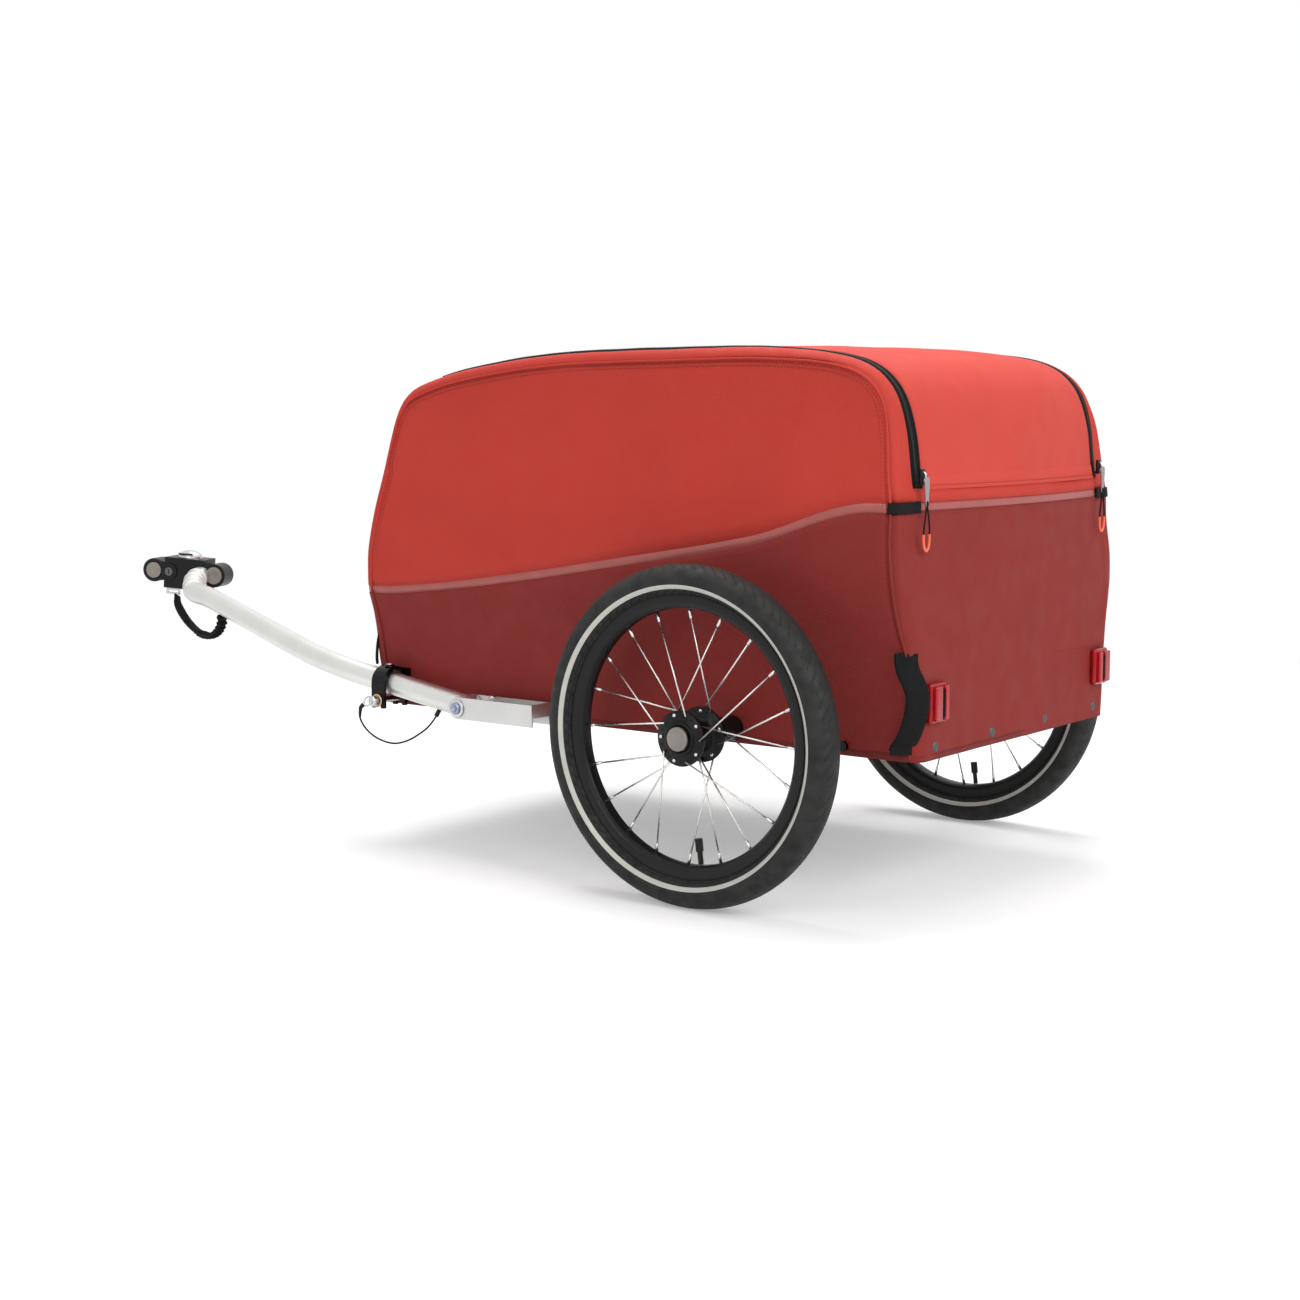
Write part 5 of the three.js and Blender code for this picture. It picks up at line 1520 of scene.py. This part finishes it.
def wall_slab(name, side, reference, x, y, z, radius, material):
    """A rounded box on the rear wall that bends with the wall towards the side."""
    edges = sorted((side * y[0], side * y[1]))
    thing = rounded_box(name, (x[0], edges[0], z[0]), (x[1], edges[1], z[1]), radius, material, 4)
    with edited(thing.data) as work:
        for cut in np.linspace(*edges, REFLECTOR_CUTS + 1)[1:-1]:
            everything = work.verts[:] + work.edges[:] + work.faces[:]
            bmesh.ops.bisect_plane(work, geom=everything, plane_co=(0, cut, 0), plane_no=(0, 1, 0))
    spots = np.linspace(0.10, HALF, 60)
    wall = on_rear(side * spots, REFLECTOR_LEVEL, 0)[:, 0]
    base = float(np.interp(reference, spots, wall))
    for vertex in thing.data.vertices:
        vertex.co.x += float(np.interp(abs(vertex.co.y), spots, wall)) - base
    return thing


def make_reflector(side_name, side):
    low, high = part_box("reflector_housing_" + side_name)
    inner, outer = sorted((abs(low.y), abs(high.y)))
    reference = (inner + outer) / 2
    outer += REFLECTOR_WRAP

    def slab(name, *shape):
        return wall_slab(name, side, reference, *shape)

    size = (low.x, high.x), (inner, outer), (low.z, high.z)
    case = slab("reflector_case_" + side_name, *size, CASE_ROUND, case_red)
    dress(case, "trailer_frame", "red_lens", "reflector_housing_" + side_name)
    low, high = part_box("reflector_lens_" + side_name)
    inner, outer = inner + CASE_EDGE_IN, outer - CASE_EDGE_OUT
    slot = inner + (outer - inner) * LENS_SPLIT
    depth, tall, gap = (low.x, high.x), (low.z, high.z), (slot - LENS_GAP, slot + LENS_GAP)
    halves = [
        slab("lens_inner", depth, (inner, gap[0]), tall, LENS_ROUND, lens_red),
        slab("lens_outer", depth, (gap[1], outer), tall, LENS_ROUND, lens_red),
    ]
    lens = join_objects("reflector_lens_pair_" + side_name, halves)
    dress(lens, "trailer_frame", "red_lens", "reflector_lens_" + side_name)
    # The slot between the lens halves gets a near-black slab: painted shade.
    size = (low.x, high.x - 0.0004), gap, (low.z + 0.004, high.z - 0.004)
    slot_piece = slab("reflector_slot_" + side_name, *size, SLOT_ROUND, painted_slot_shade)
    dress(slot_piece, "trailer_frame", "red_lens")


def make_rivet(name):
    low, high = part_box(name)
    radius, height = (high.y - low.y) / 2, high.x - low.x
    turns = [math.pi / 2 * k / 8 for k in range(8)]
    profile = [(radius * math.sin(turn), height * math.cos(turn)) for turn in turns]
    profile += [(radius, 0.0003), (radius, -0.0008)]
    place = Vector((low.x, (low.y + high.y) / 2, (low.z + high.z) / 2))
    head = turned_mesh(name + "_head", profile, 32, rivet_grey, place, axis="X")
    dress(head, "trailer_frame", "steel", name)


for side_name, side in SIDES:
    make_reflector(side_name, side)
for number in range(1, 5):
    make_rivet("hem_rivet_%d" % number)

threads = [
    ("red", thread_red, "trailer_frame", "upper_fabric"),
    ("dark", thread_dark, "trailer_frame", "lower_fabric"),
    ("lid", thread_red, "lid_rear", "lid_fabric"),
]
for kind, material, body, slot in threads:
    dress(several_tubes("stitches_" + kind, stitch_runs[kind], 4, material), body, slot)


# Finish on the pieces that keep their own solid: material and bevel in millimetres
def pair(name):
    return [name + "_left", name + "_right"]


kept_pieces = [
    (frame_silver, 1.2, ["base_frame"]),
    (frame_silver, 0.3, ["axle_cross_tube"]),
    (frame_silver, 0, [*pair("side_hoop"), "front_cross_tube", "rear_cross_tube"]),
    (frame_silver, 0.6, ["tow_bracket"]),
    (board, 0.6, ["floor_panel"]),
    (gloss_black, 1.0, ["tow_saddle"]),
    (gloss_black, 1.4, pair("hem_knob")),
    (coupler_black, 1.2, ["coupler_housing"]),
    (grey_cap, 0.8, ["release_button"]),
    (lock_grey, 0.4, ["lock_core"]),
    (plated, 1.0, ["coupler_top_cap"]),
    (plated, 0.4, ["strap_loop"]),
    (plated, 0.3, pair("outer_bearing") + pair("inner_bearing")),
    (plated, 0.2, pair("stub_axle")),
    (black_plastic, 0.4, pair("valve")),
    (black_plastic, 0.8, pair("axle_receiver")),
]
for material, width, names in kept_pieces:
    for name in names:
        for place in nodes[name].material_slots:
            place.link = "OBJECT"
            place.material = material
        if width:
            bevelled(nodes[name], width * MM, 3, 32)


# Stage, light and camera
FLOOR_HALF = 9
FLOOR_SHADE = 0.88
FLOOR_GLOW = 0.28
FADE_REACH = 4
FADE_STOPS = [(0.34, 0.0), (0.62, 1.0)]
WORLD_LIGHT = 0.42
IMAGE_SIZE = 1300
FOCAL_PIXELS = 2156.07
SENSOR_WIDTH = 36
CAMERA_PLACE = (1.9036, -2.309, 0.5897)
CAMERA_TARGET = (0.16276, -0.0055, 0.249)


def make_stage():
    corners = [(-FLOOR_HALF, -FLOOR_HALF, 0), (FLOOR_HALF, -FLOOR_HALF, 0)]
    corners += [(FLOOR_HALF, FLOOR_HALF, 0), (-FLOOR_HALF, FLOOR_HALF, 0)]
    shader = Shader("floor", (255, 255, 255), 0.9, Specular_IOR_Level=0.1)
    shader.material.diffuse_color = (FLOOR_SHADE, FLOOR_SHADE, FLOOR_SHADE, 1)
    shader.fill(shader.surface, {"Base Color": shader.material.diffuse_color})
    glow = shader.node("Emission", Color=WHITE, Strength=FLOOR_GLOW)
    near = shader.node("AddShader", shader.surface, glow)
    reach = shader.node("VectorMath", shader.place((1, 1, 1)), operation="LENGTH").outputs["Value"]
    fade = shader.ramp(shader.maths("DIVIDE", reach, FADE_REACH), FADE_STOPS)
    both = shader.node("MixShader", fade, near, shader.node("Emission", Color=WHITE))
    rays = shader.node("LightPath").outputs
    seen = shader.maths("MAXIMUM", rays["Is Camera Ray"], rays["Is Glossy Ray"])
    whole = shader.node("MixShader", seen, shader.surface, both)
    shader.fill(shader.nodes["Material Output"], {"Surface": whole})
    mesh_object("floor", corners, [(0, 1, 2, 3)], shader.material)


def make_world():
    world = bpy.data.worlds.new("studio")
    tree = Tree(world)
    back = tree.nodes["Background"]
    tree.fill(back, {"Color": WHITE, "Strength": WORLD_LIGHT})
    rays = tree.node("LightPath").outputs
    direct = tree.maths("MAXIMUM", rays["Is Camera Ray"], rays["Is Glossy Ray"])
    seen = tree.maths("MAXIMUM", direct, rays["Is Transmission Ray"])
    mix = tree.node("MixShader", seen, back, tree.node("Background", Color=WHITE, Strength=1.0))
    tree.fill(tree.nodes["World Output"], {"Surface": mix})
    bpy.context.scene.world = world


def add_light(name, place, target, size, power):
    data = bpy.data.lights.new(name, "AREA")
    data.shape = "RECTANGLE"
    data.size, data.size_y = size
    data.energy = power
    aimed(name, data, place, target)


def make_camera():
    data = bpy.data.cameras.new("camera")
    data.sensor_width = SENSOR_WIDTH
    data.lens = SENSOR_WIDTH * FOCAL_PIXELS / IMAGE_SIZE
    data.clip_start = 0.05
    data.clip_end = 60
    bpy.context.scene.camera = aimed("camera", data, CAMERA_PLACE, CAMERA_TARGET)


make_stage()
make_world()
make_camera()
add_light("overhead", (-0.2, 0.5, 3.0), (0.3, 0.0, 0.3), (2.2, 1.6), 64)
add_light("rear_key", (3.0, -0.5, 1.9), (0.5, 0.0, 0.4), (2.4, 1.6), 44)
add_light("side_fill", (0.9, -3.2, 1.9), (0.3, 0.0, 0.3), (2.2, 1.4), 24)
bpy.context.scene.view_settings.view_transform = "Standard"
